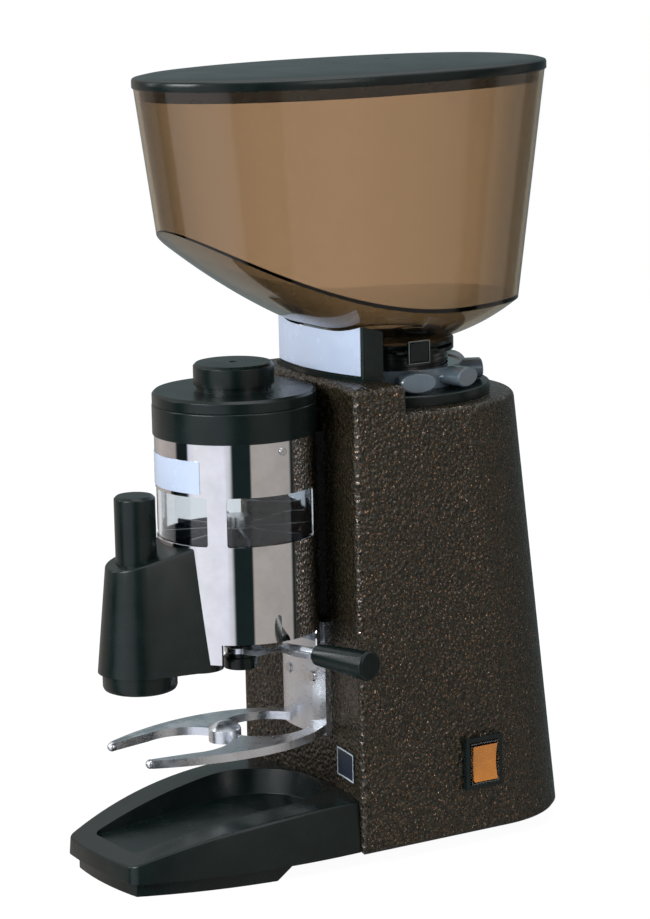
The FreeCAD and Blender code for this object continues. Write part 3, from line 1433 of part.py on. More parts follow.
def make_fork():
    """The cast fork that carries the filter holder, with its upright bracket."""
    low = float(d.fork_top - d.fork_thickness)
    thick = float(d.fork_thickness)
    tip_y = -float(d.fork_tip_front)
    tip_out = float(d.fork_tip_half) + float(d.fork_tip_width) / 2
    rear_y = front_face_y(d.bracket_half_width, -d.seat_gap)
    shoulder_y = -float(d.fork_shoulder_front)
    wide_y = -float(d.fork_wide_front)
    wide_half = float(d.fork_wide_half)
    shoulder = float(d.fork_shoulder_half)
    rear_half = float(d.fork_rear_half)
    neck_y = rear_y - float(d.bracket_depth)
    def side(sign):
        path = Part.BSplineCurve()
        path.interpolate([
            vector(sign * tip_out, tip_y, low),
            vector(sign * shoulder, shoulder_y, low),
            vector(sign * wide_half, wide_y, low),
            vector(sign * rear_half, neck_y, low),
        ])
        return path.toShape()
    outline = [
        side(1),
        line(vector(rear_half, neck_y, low), vector(rear_half, rear_y, low)),
        line(vector(rear_half, rear_y, low), vector(-rear_half, rear_y, low)),
        line(vector(-rear_half, rear_y, low), vector(-rear_half, neck_y, low)),
        side(-1),
        line(vector(-tip_out, tip_y, low), vector(tip_out, tip_y, low)),
    ]
    plate = Part.Face(Part.Wire(Part.__sortEdges__(outline))).extrude(vector(0, 0, thick))
    slot_y = -float(d.slot_centre_front)
    slot = Part.makeCylinder(float(d.slot_radius), 3 * thick, vector(0, slot_y, low - thick))
    tip_in = float(d.fork_tip_half) - float(d.fork_tip_width) / 2
    mouth_half = float(d.slot_radius) * MOUTH_WIDTH_SHARE
    mouth_y = slot_y - float(d.slot_radius) * MOUTH_DEPTH_SHARE
    mouth = Part.Face(Part.makePolygon([
        vector(-tip_in, tip_y - thick, low - thick),
        vector(tip_in, tip_y - thick, low - thick),
        vector(mouth_half, mouth_y, low - thick),
        vector(-mouth_half, mouth_y, low - thick),
        vector(-tip_in, tip_y - thick, low - thick),
    ])).extrude(vector(0, 0, 3 * thick))
    eye = Part.makeCylinder(
        float(d.eye_radius), 3 * thick, vector(0, -float(d.eye_centre_front), low - thick)
    )
    plate = plate.cut(slot).cut(mouth).cut(eye)
    boss_y = -float(d.bridge_boss_front)
    swell = float(d.bridge_boss_radius) * BOSS_SWELL_SHARE
    crown = low + thick + float(d.bridge_boss_height)
    boss = Part.makeSphere(swell, vector(0, boss_y, crown - swell))
    disc = Part.makeCylinder(
        float(d.bridge_boss_radius), float(d.bridge_boss_height) + thick, vector(0, boss_y, low)
    )
    boss = boss.common(disc)
    plate = plate.fuse(boss)
    for sign in (-1, 1):
        ball = Part.makeSphere(
            float(d.fork_ball_radius), vector(sign * float(d.fork_tip_half), tip_y, low + thick / 2)
        )
        plate = plate.fuse(ball)
    slope = SIZES["fork_slope_angle"]
    plate.rotate(vector(0, rear_y, float(d.fork_top)), vector(1, 0, 0), slope)
    top = float(d.doser_base_height)
    half = float(d.bracket_half_width)
    y_out = rear_y - float(d.bracket_depth)
    upright = extrude([
        line(vector(-half, rear_y, 0), vector(-half, y_out, 0)),
        arc(
            vector(-half, y_out, 0), vector(0, y_out - thick * UPRIGHT_BULGE_SHARE, 0),
            vector(half, y_out, 0),
        ),
        line(vector(half, y_out, 0), vector(half, rear_y, 0)),
        arc(
            vector(half, rear_y, 0), vector(0, front_face_y(0, -d.seat_gap), 0),
            vector(-half, rear_y, 0),
        ),
    ], low - thick / 2, top - low + thick / 2)
    whole = plate.fuse(upright)
    behind = casing_block(d.casing_base_height, d.casing_top_height, -d.seat_gap / 2)
    ahead = Part.makeCylinder(
        float(d.tube_radius + d.seat_gap), float(d.tube_top), vector(0, DOSER_Y, d.tube_base - d.seat_gap)
    )
    whole = whole.cut(behind).cut(ahead).removeSplitter()
    base = shaped("ForkBlank", whole)
    holes = []
    screws = []
    face_y = y_out - thick * SCREW_SEAT_SHARE
    for side_sign in (-1, 1):
        x = side_sign * d.fork_screw_side
        holes.append(rod("ForkHole%d" % (side_sign + 1), d.screw_hole_radius, 8 * d.overrun,
                         (x, rear_y - float(4 * d.overrun), d.fork_screw_level), (1, 0, 0), -90))
        head_height = d.screw_head_height * FORK_HEAD_HEIGHT_SHARE
        head = rod("ForkHead%d" % (side_sign + 1), d.screw_head_radius * FORK_HEAD_RADIUS_SHARE, head_height,
                   (x, face_y - float(head_height), d.fork_screw_level), (1, 0, 0), -90)
        shank = rod("ForkShank%d" % (side_sign + 1), d.screw_radius, d.fork_screw_reach,
                    (x, face_y, d.fork_screw_level), (1, 0, 0), -90)
        screws.append(join("ForkScrew%d" % (side_sign + 1), [head, shank]))
        flat = rod("ForkFlat%d" % (side_sign + 1), d.screw_head_radius, 2 * d.overrun,
                   (x, face_y - float(2 * d.overrun), d.fork_screw_level), (1, 0, 0), -90)
        holes.append(flat)
    keep("fork", cut("Fork", base, holes))
    return screws


def tray_plan(level, inset):
    """The tray in plan: a hollow back against the casing, bulged sides and a shallow nose."""
    inset = float(inset)
    front = -float(d.tray_front) + inset
    front_half = float(d.tray_front_half) - inset
    middle_half = float(d.tray_middle_half) - inset
    rear_half = float(d.tray_rear_half) - inset
    rear = front_face_y(rear_half, -d.seat_gap)
    middle = -float(d.tray_middle_front)
    return Part.Wire([
        arc(
            vector(-rear_half, rear, level), vector(0, front_face_y(0, -d.seat_gap), level),
            vector(rear_half, rear, level),
        ),
        arc(
            vector(rear_half, rear, level), vector(middle_half, middle, level),
            vector(front_half, front, level),
        ),
        arc(
            vector(front_half, front, level), vector(0, front - float(d.tray_nose), level),
            vector(-front_half, front, level),
        ),
        arc(
            vector(-front_half, front, level), vector(-middle_half, middle, level),
            vector(-rear_half, rear, level),
        ),
    ])


def tray_top():
    """The space above the tray, whose side line rises in an arc and then runs level to the casing."""
    front = -float(d.tray_front)
    middle = -float(d.tray_middle_front)
    level_start = -float(d.tray_level_front)
    wide = 2 * float(d.tray_rear_half)
    far = 2 * float(d.tray_front)
    sky = float(d.casing_top_height)
    face = Part.Face(Part.Wire([
        arc(
            vector(-wide, front, d.tray_front_top), vector(-wide, middle, d.tray_middle_top),
            vector(-wide, level_start, d.tray_rear_top),
        ),
        line(vector(-wide, level_start, d.tray_rear_top), vector(-wide, 0, d.tray_rear_top)),
        line(vector(-wide, 0, d.tray_rear_top), vector(-wide, 0, sky)),
        line(vector(-wide, 0, sky), vector(-wide, -far, sky)),
        line(vector(-wide, -far, sky), vector(-wide, -far, 0)),
        line(vector(-wide, -far, 0), vector(-wide, front, d.tray_front_top)),
    ]))
    return face.extrude(vector(2 * wide, 0, 0))


def make_tray():
    low = float(d.tray_base_height)
    high = float(d.tray_rear_top) + float(d.overrun)
    body = Part.makeLoft([tray_plan(low, 0), tray_plan(high, d.tray_draft)], True, True)
    front = -float(d.tray_front)
    corners = [edge for edge in body.Edges if is_tray_corner(edge, high - low)]
    body = body.makeFillet(float(d.tray_corner), corners)
    above = tray_top()
    body = body.cut(above)
    rear = front_face_y(d.tray_rear_half, 0)
    rim = [edge for edge in body.Edges if is_tray_rim(edge, above, rear)]
    body = body.makeFillet(float(d.tray_edge), rim)
    rise = d.tray_floor_rear - d.tray_floor_front
    bowl = Part.makeLoft([
        bowl_outline(d.tray_floor_front, rise, d.bowl_draft),
        bowl_outline(d.bowl_rim_height, 0, 0),
    ], True, True)
    keep("tray", shaped("Tray", body.fuse(make_plinth()).cut(bowl).removeSplitter()))


def is_upright(edge):
    box = edge.BoundBox
    return box.XLength < float(d.run_gap) and box.YLength < float(d.run_gap)


def is_tray_corner(edge, height):
    """One of the two nearly upright edges at the tray's front."""
    box = edge.BoundBox
    return box.ZLength > height - float(d.run_gap) and box.YMax < -float(d.tray_middle_front)


def is_tray_rim(edge, above, rear):
    middle = edge.valueAt((edge.FirstParameter + edge.LastParameter) / 2)
    on_top = above.distToShape(Part.Vertex(middle))[0] < float(d.run_gap)
    box = edge.BoundBox
    across = box.XLength > float(d.tray_rear_half) and box.YMin > -float(d.tray_middle_front)
    return on_top and not across and middle.y < rear - float(d.overrun)


def bowl_outline(level, rise, inset):
    """The tray's bowl in plan: a round end by the casing, sides that draw in, and a straight nose."""
    inset = float(inset)
    radius = float(d.bowl_radius) - inset
    centre = -float(d.bowl_centre_front)
    half = float(d.bowl_nose_half) - inset
    front = -float(d.bowl_nose_front) + inset
    corner = float(d.bowl_corner)
    away = math.hypot(half, front - centre)
    lean = math.atan2(front - centre, half) + math.acos(radius / away)
    tx = radius * math.cos(lean)
    ty = centre + radius * math.sin(lean)
    run = math.hypot(half - tx, front - ty)
    ux = (half - tx) / run
    uy = (front - ty) / run
    bend_x = half - (1 + ux) * corner * CORNER_ARC_SHARE
    bend_y = front - uy * corner * CORNER_ARC_SHARE
    long = float(d.bowl_nose_front) - float(d.bowl_centre_front) + float(d.bowl_radius)

    def at(x, y):
        height = float(level) + float(rise) * (y + float(d.bowl_nose_front)) / long
        return vector(x, y, height)

    side_x = half - ux * corner
    side_y = front - uy * corner
    return Part.Wire([
        arc(at(tx, ty), at(0, centre + radius), at(-tx, ty)),
        line(at(-tx, ty), at(-side_x, side_y)),
        arc(at(-side_x, side_y), at(-bend_x, bend_y), at(corner - half, front)),
        line(at(corner - half, front), at(half - corner, front)),
        arc(at(half - corner, front), at(bend_x, bend_y), at(side_x, side_y)),
        line(at(side_x, side_y), at(tx, ty)),
    ])


def make_plinth():
    """The tray's own foot, which stands on the table and ends in a slant behind."""
    top = float(d.tray_base_height)
    foot = Part.makeLoft([tray_plan(0, d.plinth_inset), tray_plan(top, d.plinth_inset)], True, True)
    rear = -float(d.plinth_rear)
    slant = float(d.plinth_slant)
    wide = 2 * float(d.tray_rear_half)
    reach = float(d.tray_front)
    behind = Part.Face(Part.makePolygon([
        vector(-wide, rear - slant, -top), vector(-wide, rear + slant, top), vector(-wide, rear + reach, top),
        vector(-wide, rear + reach, -top), vector(-wide, rear - slant, -top),
    ])).extrude(vector(2 * wide, 0, 0))
    return foot.cut(behind)


def make_switch():
    """A rocker switch in the right-hand side of the casing. Its rocker tilts about an upright pin."""
    x = d.casing_half_width
    y = d.switch_rear
    middle = d.switch_height
    width = d.bezel_width
    long = d.bezel_length
    low = middle - long / 2
    inset = d.bezel_body_inset
    deep = d.bezel_body_depth
    flange = block("BezelFlange", (d.bezel_stand, width, long), (x + d.bezel_stand / 2, y, low))
    body = block(
        "BezelBody", (deep, width - 2 * inset, long - 2 * inset), (x - deep / 2, y, low + inset)
    )
    wall = d.bezel_wall
    hollow = block(
        "BezelHollow", (deep + 2 * d.bezel_stand, width - 2 * wall, long - 2 * wall),
        (x - deep / 2 + d.bezel_stand + d.switch_floor, y, low + wall),
    )
    axis_x = x - d.rocker_pin_depth
    pin_hole = rod(
        "RockerPinHole", d.rocker_pin_radius + d.run_gap, width, (axis_x, y - width / 2, middle),
        (1, 0, 0), -90,
    )
    keep("switch_bezel", cut("SwitchBezel", join("BezelBlank", [flange, body]), [hollow, pin_hole]))
    boot_out = wall + d.run_gap
    boot_in = boot_out + d.boot_wall
    boot_high = d.bezel_stand + d.boot_stand
    shell = block(
        "BootOuter", (boot_high, width - 2 * boot_out, long - 2 * boot_out),
        (x + boot_high / 2, y, low + boot_out),
    )
    clear = block(
        "BootInner", (3 * boot_high, width - 2 * boot_in, long - 2 * boot_in),
        (x + boot_high / 2, y, low + boot_in),
    )
    keep("switch_boot", cut("SwitchBoot", shell, [clear]))
    gap = boot_in + d.rocker_gap
    half_long = float(long) / 2 - float(gap)
    half_wide = float(width) / 2 - float(gap)
    face = float(x) + float(d.bezel_stand)
    crown = float(d.rocker_crown)
    depth = float(d.rocker_depth)
    cx, cy, cz = float(x), float(y), float(middle)
    foot_half = half_long * ROCKER_FOOT_SHARE
    side = Part.Wire([
        line(vector(face - depth, cy, cz - foot_half), vector(face + crown, cy, cz - half_long)),
        arc(
            vector(face + crown, cy, cz - half_long), vector(face, cy, cz),
            vector(face + crown, cy, cz + half_long),
        ),
        line(vector(face + crown, cy, cz + half_long), vector(face - depth, cy, cz + foot_half)),
        line(vector(face - depth, cy, cz + foot_half), vector(face - depth, cy, cz - foot_half)),
    ])
    rocker = Part.Face(side).extrude(vector(0, 2 * half_wide, 0))
    rocker.translate(vector(0, -half_wide, 0))
    pin_length = float(width - 2 * inset - 2 * d.seat_gap)
    pin = Part.makeCylinder(
        float(d.rocker_pin_radius), pin_length, vector(axis_x, cy - pin_length / 2, cz), vector(0, 1, 0)
    )
    keep("switch_rocker", shaped("SwitchRocker", rocker.fuse(pin)))


def make_badge():
    """A small bare plate low on the casing's front."""
    depth = float(d.badge_thickness)
    left = float(d.badge_inner)
    right = float(d.badge_outer)
    middle = (left + right) / 2
    seat = -float(d.run_gap)
    plate = extrude([
        arc(
            vector(left, front_face_y(left, seat), 0), vector(middle, front_face_y(middle, seat), 0),
            vector(right, front_face_y(right, seat), 0),
        ),
        line(vector(right, front_face_y(right, seat), 0), vector(right, front_face_y(right, -depth), 0)),
        arc(
            vector(right, front_face_y(right, -depth), 0), vector(middle, front_face_y(middle, -depth), 0),
            vector(left, front_face_y(left, -depth), 0),
        ),
        line(vector(left, front_face_y(left, -depth), 0), vector(left, front_face_y(left, seat), 0)),
    ], float(d.badge_low), float(d.badge_high - d.badge_low))
    keep("badge_plate", shaped("BadgePlate", plate))


def make_gland():
    """The cable gland low in the back of the casing."""
    level = d.gland_height
    share = float(level - d.casing_base_height) / float(d.casing_top_height - d.casing_base_height)
    face = d.casing_rear_low - share * float(d.casing_rear_low - d.casing_rear_high)
    flange = rod(
        "GlandFlange", d.gland_flange_radius, d.gland_stand, (0, face + d.rotor_gap, level), (1, 0, 0), -90
    )
    body = rod(
        "GlandBody", d.gland_radius, d.gland_depth, (0, face - d.gland_depth + d.overrun, level), (1, 0, 0), -90
    )
    bore = rod(
        "GlandBore", d.gland_bore, 4 * d.gland_depth, (0, face - 2 * d.gland_depth, level), (1, 0, 0), -90
    )
    behind = shaped("GlandCasing", casing_block(d.casing_base_height, d.casing_top_height, 0))
    trimmed = cut("GlandFlangeTrim", flange, [behind])
    keep("cable_gland", cut("CableGland", join("GlandBlank", [trimmed, body]), [bore]))


def box_plan(inset, level, height):
    """The name box in plan: a bulged front between two sides that run back to the casing's step."""
    half = float(d.box_half_width) - float(inset)
    front = -float(d.box_front) + float(inset)
    rear = -float(d.box_rear)
    nose = front - float(d.box_bulge)
    return extrude([
        line(vector(-half, rear, 0), vector(-half, front, 0)),
        arc(vector(-half, front, 0), vector(0, nose, 0), vector(half, front, 0)),
        line(vector(half, front, 0), vector(half, rear, 0)),
        line(vector(half, rear, 0), vector(-half, rear, 0)),
    ], float(level), float(height))


def make_name_box():
    low = float(d.casing_top_height)
    tall = float(d.box_top) - low
    outer = box_plan(0, low, tall)
    front_part = -float(d.box_rear + d.box_wall)
    corners = [edge for edge in outer.Edges if is_upright(edge) and edge.BoundBox.YMax < front_part]
    outer = outer.makeFillet(float(d.box_wall), corners)
    inner = box_plan(d.box_wall, low, tall - float(d.box_wall))
    inner.translate(vector(0, d.overrun, 0))
    inner = inner.fuse(box_plan(d.box_wall, low, tall - float(d.box_wall)))
    rim = box_plan(-d.box_rim_stand, low, d.box_rim_height)
    shell = outer.fuse(rim).cut(inner)
    room = Part.makeCylinder(
        float(d.gate_collar_radius + d.disc_chamfer), 2 * tall, vector(0, 0, low - tall / 2)
    )
    above = hopper_skin(-d.box_hopper_gap, float(d.hopper_top), float(d.hopper_neck_low))
    keep("name_box", shaped("NameBox", shell.cut(room).cut(above).removeSplitter()))
    half = float(d.sign_half_width)
    radius_half = float(d.box_half_width)
    bulge = float(d.box_bulge)
    radius = (radius_half**2 + bulge**2) / (2 * bulge)
    centre = -float(d.box_front) - bulge + radius
    thick = float(d.sign_thickness)
    seat = float(d.run_gap)
    def on_arc(x, stand):
        return vector(x, centre - math.sqrt((radius + stand) ** 2 - x**2), 0)
    sign = extrude([
        arc(on_arc(-half, seat), on_arc(0, seat), on_arc(half, seat)),
        line(on_arc(half, seat), on_arc(half, thick)),
        arc(on_arc(half, thick), on_arc(0, thick), on_arc(-half, thick)),
        line(on_arc(-half, thick), on_arc(-half, seat)),
    ], float(d.sign_low), float(d.box_top) - float(d.sign_low))
    keep("name_label", shaped("NameLabel", sign.cut(above)))


OUTLINE_STEPS = 32
FUNNEL_STEPS = 8


def oval_points(half_width, front, rear, height_at, share=1.0):
    """Points round the hopper's plan, a rounded oval that is fuller at the back."""
    middle = -float(d.hopper_middle)
    points = []
    for step in range(OUTLINE_STEPS):
        angle = 2 * math.pi * step / OUTLINE_STEPS
        across = math.cos(angle)
        along = math.sin(angle)
        power = 2.0 / (SIZES["front_power"] if along < 0 else SIZES["rear_power"])
        x = half_width * math.copysign(abs(across) ** power, across)
        reach = (middle + front) if along < 0 else (rear - middle)
        y = middle + reach * math.copysign(abs(along) ** power, along)
        points.append(vector(x * share, y * share, height_at(y)))
    return points


def closed_curve(points):
    curve = Part.BSplineCurve()
    curve.interpolate(points, PeriodicFlag=True)
    return Part.Wire([curve.toShape()])


def crease_height(y):
    """Where the hopper's wall turns into its funnel: level at the back, and rising to the front."""
    flat = float(d.crease_flat_rear)
    run = flat + float(d.crease_front)
    ahead = max(0.0, flat - y)
    return float(d.crease_low) + float(d.crease_rise) * (ahead / run) ** 2


def hopper_skin(inset, top, bottom):
    """A closed solid inside the hopper's wall, from its mouth to its neck."""
    t = float(inset)
    rim_points = oval_points(
        float(d.hopper_half_width) - t, float(d.hopper_front) - t, float(d.hopper_rear) - t,
        lambda y: float(d.hopper_top),
    )
    crease_points = oval_points(
        float(d.crease_half_width) - t, float(d.crease_front) - t, float(d.crease_rear) - t,
        lambda y: crease_height(y) + t,
    )
    stretch = (top - float(d.hopper_top)) / (float(d.hopper_top) - float(d.crease_low))
    if stretch > 0:
        rim_points = [
            rim + (rim - low) * (stretch * (float(d.hopper_top) - float(d.crease_low)) / (rim.z - low.z))
            for rim, low in zip(rim_points, crease_points)
        ]
    neck_radius = float(d.hopper_neck_radius) - (float(d.hopper_neck_wall) if t else 0)
    neck_level = float(d.funnel_neck_height) + t
    neck_points = []
    for crease in crease_points:
        angle = math.atan2(crease.y, crease.x)
        neck_points.append(vector(neck_radius * math.cos(angle), neck_radius * math.sin(angle), neck_level))
    drop = 4 * float(d.funnel_mid_drop) / float(d.crease_front)
    rings = []
    for step in range(FUNNEL_STEPS + 1):
        share = step / FUNNEL_STEPS
        points = []
        for neck, crease in zip(neck_points, crease_points):
            sag = drop * share * (1 - share) * math.hypot(crease.x, crease.y)
            points.append(crease + (neck - crease) * share - vector(0, 0, sag))
        rings.append(closed_curve(points))
    rim = closed_curve(rim_points)
    neck = rings[-1]
    wall = Part.makeLoft([rim, rings[0]], False, True)
    funnel = Part.makeLoft(rings, False, True)
    low = closed_curve([vector(point.x, point.y, bottom) for point in neck_points])
    throat = Part.makeLoft([neck, low], False, True)
    shell = Part.Compound(wall.Faces + funnel.Faces + throat.Faces + [Part.Face(rim), Part.Face(low)])
    faces = shell.copy()
    sewn = Part.Shell(sew(faces))
    solid = Part.Solid(sewn)
    if solid.Volume < 0:
        solid.reverse()
    return solid


def sew(compound):
    compound.sewShape(float(d.run_gap))
    return compound.Faces


def make_hopper():
    outer = hopper_skin(0, float(d.hopper_top), float(d.hopper_neck_low))
    inner = hopper_skin(
        d.hopper_wall, float(d.hopper_top + d.overrun), float(d.hopper_neck_low - d.overrun)
    )
    shell = outer.cut(inner)
    slot = block(
        "GateSlot",
        (2 * d.gate_collar_radius + 2 * d.overrun, 2 * d.gate_half_width + 2 * d.seat_gap,
         d.gate_thickness + 2 * d.seat_gap),
        (d.gate_collar_radius + d.overrun - d.gate_reach - d.seat_gap, 0, d.gate_height - d.seat_gap),
    )
    keep("hopper", cut("Hopper", shaped("HopperShell", shell), [slot]))
    collar_top = d.funnel_neck_height
    blank = tube(
        "CollarBlank", d.gate_collar_radius, d.hopper_neck_radius + d.seat_gap,
        collar_top - d.gate_collar_low - d.seat_gap, (0, 0, d.gate_collar_low),
    )
    gap_slot = block(
        "CollarSlot",
        (2 * d.gate_collar_radius + 2 * d.overrun, 2 * d.gate_half_width + 2 * d.seat_gap,
         d.gate_thickness + 2 * d.seat_gap),
        (d.gate_collar_radius + d.overrun - d.gate_reach - d.seat_gap, 0, d.gate_height - d.seat_gap),
    )
    above = hopper_skin(-d.seat_gap, float(d.hopper_top), float(d.hopper_neck_low))
    underside = shaped("CollarUnderside", above)
    keep("gate_collar", cut("GateCollar", blank, [gap_slot, underside]))
    length = d.gate_reach + d.gate_tab_reach
    blade = block(
        "GateBlade", (length, 2 * d.gate_half_width, d.gate_thickness),
        (d.gate_tab_reach - length / 2, 0, d.gate_height),
    )
    round_end = rod("GateRound", d.gate_reach, 4 * d.gate_thickness, (0, 0, d.gate_height - d.gate_thickness))
    stem = block(
        "GateStem", (d.gate_tab_reach, 4 * d.gate_tab_half_width, 4 * d.gate_thickness),
        (d.gate_tab_reach / 2, -d.gate_tab_side, d.gate_height - d.gate_thickness),
    )
    trimmed = overlap_of("GateTrimmed", blade, join("GatePlan", [round_end, stem]))
    tab = block(
        "GateTab",
        (d.gate_tab_thickness, 2 * d.gate_tab_half_width, d.gate_tab_high - d.gate_tab_low),
        (d.gate_tab_reach + d.gate_tab_thickness / 2, -d.gate_tab_side, d.gate_tab_low),
    )
    keep("bean_gate", join("BeanGate", [trimmed, tab]))


def make_cover():
    """The hopper's lid: a domed plate with a rim and a skirt that drops inside the hopper."""
    over = float(d.cover_overhang)
    low = float(d.hopper_top)
    rim_top = low + float(d.cover_rim_height)
    rise = float(d.cover_rise)

    def ring(level, inset, share=1.0):
        return closed_curve(oval_points(
            float(d.hopper_half_width) + over - inset, float(d.hopper_front) + over - inset,
            float(d.hopper_rear) + over - inset, lambda y: level, share,
        ))

    def dome(level, inset):
        rings = [ring(level, inset)]
        for share in DOME_SHARES:
            rings.append(ring(level + rise * math.sqrt(1 - share**DOME_POWER), inset, share))
        return Part.makeLoft(rings, True, False)

    wall = float(d.cover_wall)
    gap = over + float(d.hopper_wall) + float(d.skirt_gap)
    skirt_low = low - float(d.skirt_depth)
    inside = gap + float(d.skirt_wall)
    body = Part.makeLoft([ring(low, 0), ring(rim_top, 0)], True, True)
    skirt = Part.makeLoft([ring(skirt_low, gap), ring(rim_top - wall, gap)], True, True)
    hollow_rings = [ring(skirt_low - float(d.overrun), inside), ring(rim_top - wall, inside)]
    hollow = Part.makeLoft(hollow_rings, True, True)
    roof = dome(rim_top - wall - float(d.run_gap), inside)
    cover = body.fuse(dome(rim_top, 0)).fuse(skirt).cut(hollow).cut(roof).removeSplitter()
    keep("hopper_lid", shaped("HopperLid", cover))


base_screws = make_base()
make_casing()
make_tray()
make_switch()
make_badge()
make_gland()
make_motor()
make_mill()
make_ring()
make_doser()
make_portion_wheel()
make_lever()
make_saddle_and_chute()
make_doser_label()
make_tamper()
fork_screws = make_fork()
keep("casing_screws", group("CasingScrews", base_screws + fork_screws))
make_name_box()
make_hopper()
make_cover()

doc.recompute()
for thing in doc.Objects:
    for state in ("Invalid", "Error"):
        if state in thing.State:
            raise RuntimeError("%s did not build: %s" % (thing.Name, thing.State))
for thing in NODES:
    shape = thing.Shape
    if shape.isNull() or not shape.isValid() or not shape.Solids:
        raise RuntimeError("%s has no valid solid" % thing.Label)

os.makedirs("parts", exist_ok=True)
for thing in NODES:
    thing.Shape.exportStep("parts/%s.step" % thing.Label)
    print(thing.Label, len(thing.Shape.Solids), round(thing.Shape.Volume, 1))
print(len(NODES), "nodes")
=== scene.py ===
"""Looks of the espresso grinder: camera, light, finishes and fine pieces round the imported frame."""

import bpy
import bmesh
import json
import math
from mathutils import Matrix, Vector


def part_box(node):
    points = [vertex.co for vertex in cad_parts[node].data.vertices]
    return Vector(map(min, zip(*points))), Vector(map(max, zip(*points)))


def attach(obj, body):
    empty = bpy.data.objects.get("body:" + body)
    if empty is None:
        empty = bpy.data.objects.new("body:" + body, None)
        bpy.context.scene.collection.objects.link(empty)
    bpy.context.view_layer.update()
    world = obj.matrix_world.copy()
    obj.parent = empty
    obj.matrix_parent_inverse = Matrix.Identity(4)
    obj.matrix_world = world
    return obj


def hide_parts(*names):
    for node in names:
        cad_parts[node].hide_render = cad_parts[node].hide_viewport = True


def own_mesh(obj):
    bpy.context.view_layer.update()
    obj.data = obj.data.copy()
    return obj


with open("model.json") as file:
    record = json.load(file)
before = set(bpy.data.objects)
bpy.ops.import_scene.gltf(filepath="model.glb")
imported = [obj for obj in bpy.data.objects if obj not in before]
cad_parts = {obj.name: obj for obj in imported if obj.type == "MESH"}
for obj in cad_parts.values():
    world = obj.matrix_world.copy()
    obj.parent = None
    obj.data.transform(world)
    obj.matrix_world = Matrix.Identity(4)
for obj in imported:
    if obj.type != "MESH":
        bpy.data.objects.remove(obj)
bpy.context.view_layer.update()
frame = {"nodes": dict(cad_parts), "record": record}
MM = 0.001

RECORD = frame["record"]
SLOT_OF = {entry["node"]: entry["material_slot"] for entry in RECORD["subparts"]}
BODY_OF = {node: body for body, nodes in RECORD["behaviour"]["bodies"].items() for node in nodes}


# the camera's place in metres, its directions and its lens, from a fit of the photograph
CAMERA_PLACE = (2.0257, -1.3354, 0.7382)
CAMERA_LOOK = (-0.831, 0.523, -0.187)
CAMERA_RIGHT = (0.536, 0.844, -0.021)
CAMERA_SENSOR = 36.0
CAMERA_LENS = 132.1
CAMERA_REACH = 20.0


def make_camera():
    """The camera at the photograph's viewing angle."""
    back = -Vector(CAMERA_LOOK).normalized()
    right = Vector(CAMERA_RIGHT).normalized()
    up = back.cross(right).normalized()
    right = up.cross(back).normalized()
    data = bpy.data.cameras.new("view")
    data.sensor_width = CAMERA_SENSOR
    data.lens = CAMERA_LENS
    data.clip_end = CAMERA_REACH
    camera = bpy.data.objects.new("view", data)
    bpy.context.scene.collection.objects.link(camera)
    turn = Matrix((right, up, back)).transposed().to_4x4()
    camera.matrix_world = Matrix.Translation(CAMERA_PLACE) @ turn
    bpy.context.scene.camera = camera


class Nodes:
    """One material's nodes, round a principled shader, with textures in the object's own space."""

    def __init__(self, name):
        self.material = bpy.data.materials.new(name)
        self.material.use_nodes = True
        self.tree = self.material.node_tree
        self.tree.nodes.clear()
        self.out = self.add("ShaderNodeOutputMaterial")
        self.shader = self.add("ShaderNodeBsdfPrincipled")
        self.link(self.shader, "BSDF", self.out, "Surface")
        self.place = self.add("ShaderNodeTexCoord")

    def add(self, kind, **settings):
        node = self.tree.nodes.new(kind)
        for key, value in settings.items():
            setattr(node, key, value)
        return node

    def link(self, source, output, target, entry):
        self.tree.links.new(source.outputs[output], target.inputs[entry])

    def noise(self, scale, detail=2.0, rough=0.5):
        node = self.add("ShaderNodeTexNoise")
        node.inputs["Scale"].default_value = scale
        node.inputs["Detail"].default_value = detail
        node.inputs["Roughness"].default_value = rough
        self.link(self.place, "Object", node, "Vector")
        return node

    def cells(self, scale, smoothness):
        node = self.add("ShaderNodeTexVoronoi", feature="SMOOTH_F1")
        node.inputs["Scale"].default_value = scale
        node.inputs["Smoothness"].default_value = smoothness
        self.link(self.place, "Object", node, "Vector")
        return node

    def ramp(self, source, output, stops):
        node = self.add("ShaderNodeValToRGB")
        line = node.color_ramp
        line.elements[0].position, line.elements[0].color = stops[0]
        line.elements[1].position, line.elements[1].color = stops[-1]
        for position, colour in stops[1:-1]:
            line.elements.new(position).color = colour
        self.link(source, output, node, "Fac")
        return node

    def set(self, **values):
        for key, value in values.items():
            self.shader.inputs[key.replace("_", " ")].default_value = value

    def to_shader(self, source, output, entry):
        self.link(source, output, self.shader, entry)

    def vary(self, entry, source, output, *stops):
        """Drives one entry of the shader from a texture, through a ramp of colours or greys."""
        self.to_shader(self.ramp(source, output, stops), "Color", entry)

    def bump(self, source, output, strength, distance):
        node = self.add("ShaderNodeBump")
        node.inputs["Strength"].default_value = strength
        node.inputs["Distance"].default_value = distance
        self.link(source, output, node, "Height")
        self.to_shader(node, "Normal", "Normal")


def grey(value):
    return (value, value, value, 1.0)


def tone(colour, factor):
    return tuple(channel * factor for channel in colour[:3]) + (1.0,)


# noise shared by plastics and metals: scale, detail and roughness
PLASTIC_WIDE = (38.0, 3.0, 0.55)
METAL_WIDE = (60.0, 3.0, 0.55)
DUST = (220.0, 4.0, 0.6)
FLOW = (14.0, 2.0, 0.5)
GRAIN_HEIGHT = 0.0002
METAL_GRAIN_HEIGHT = 0.0003
FLOW_HEIGHT = 0.002
PLASTIC_INDEX = 1.49


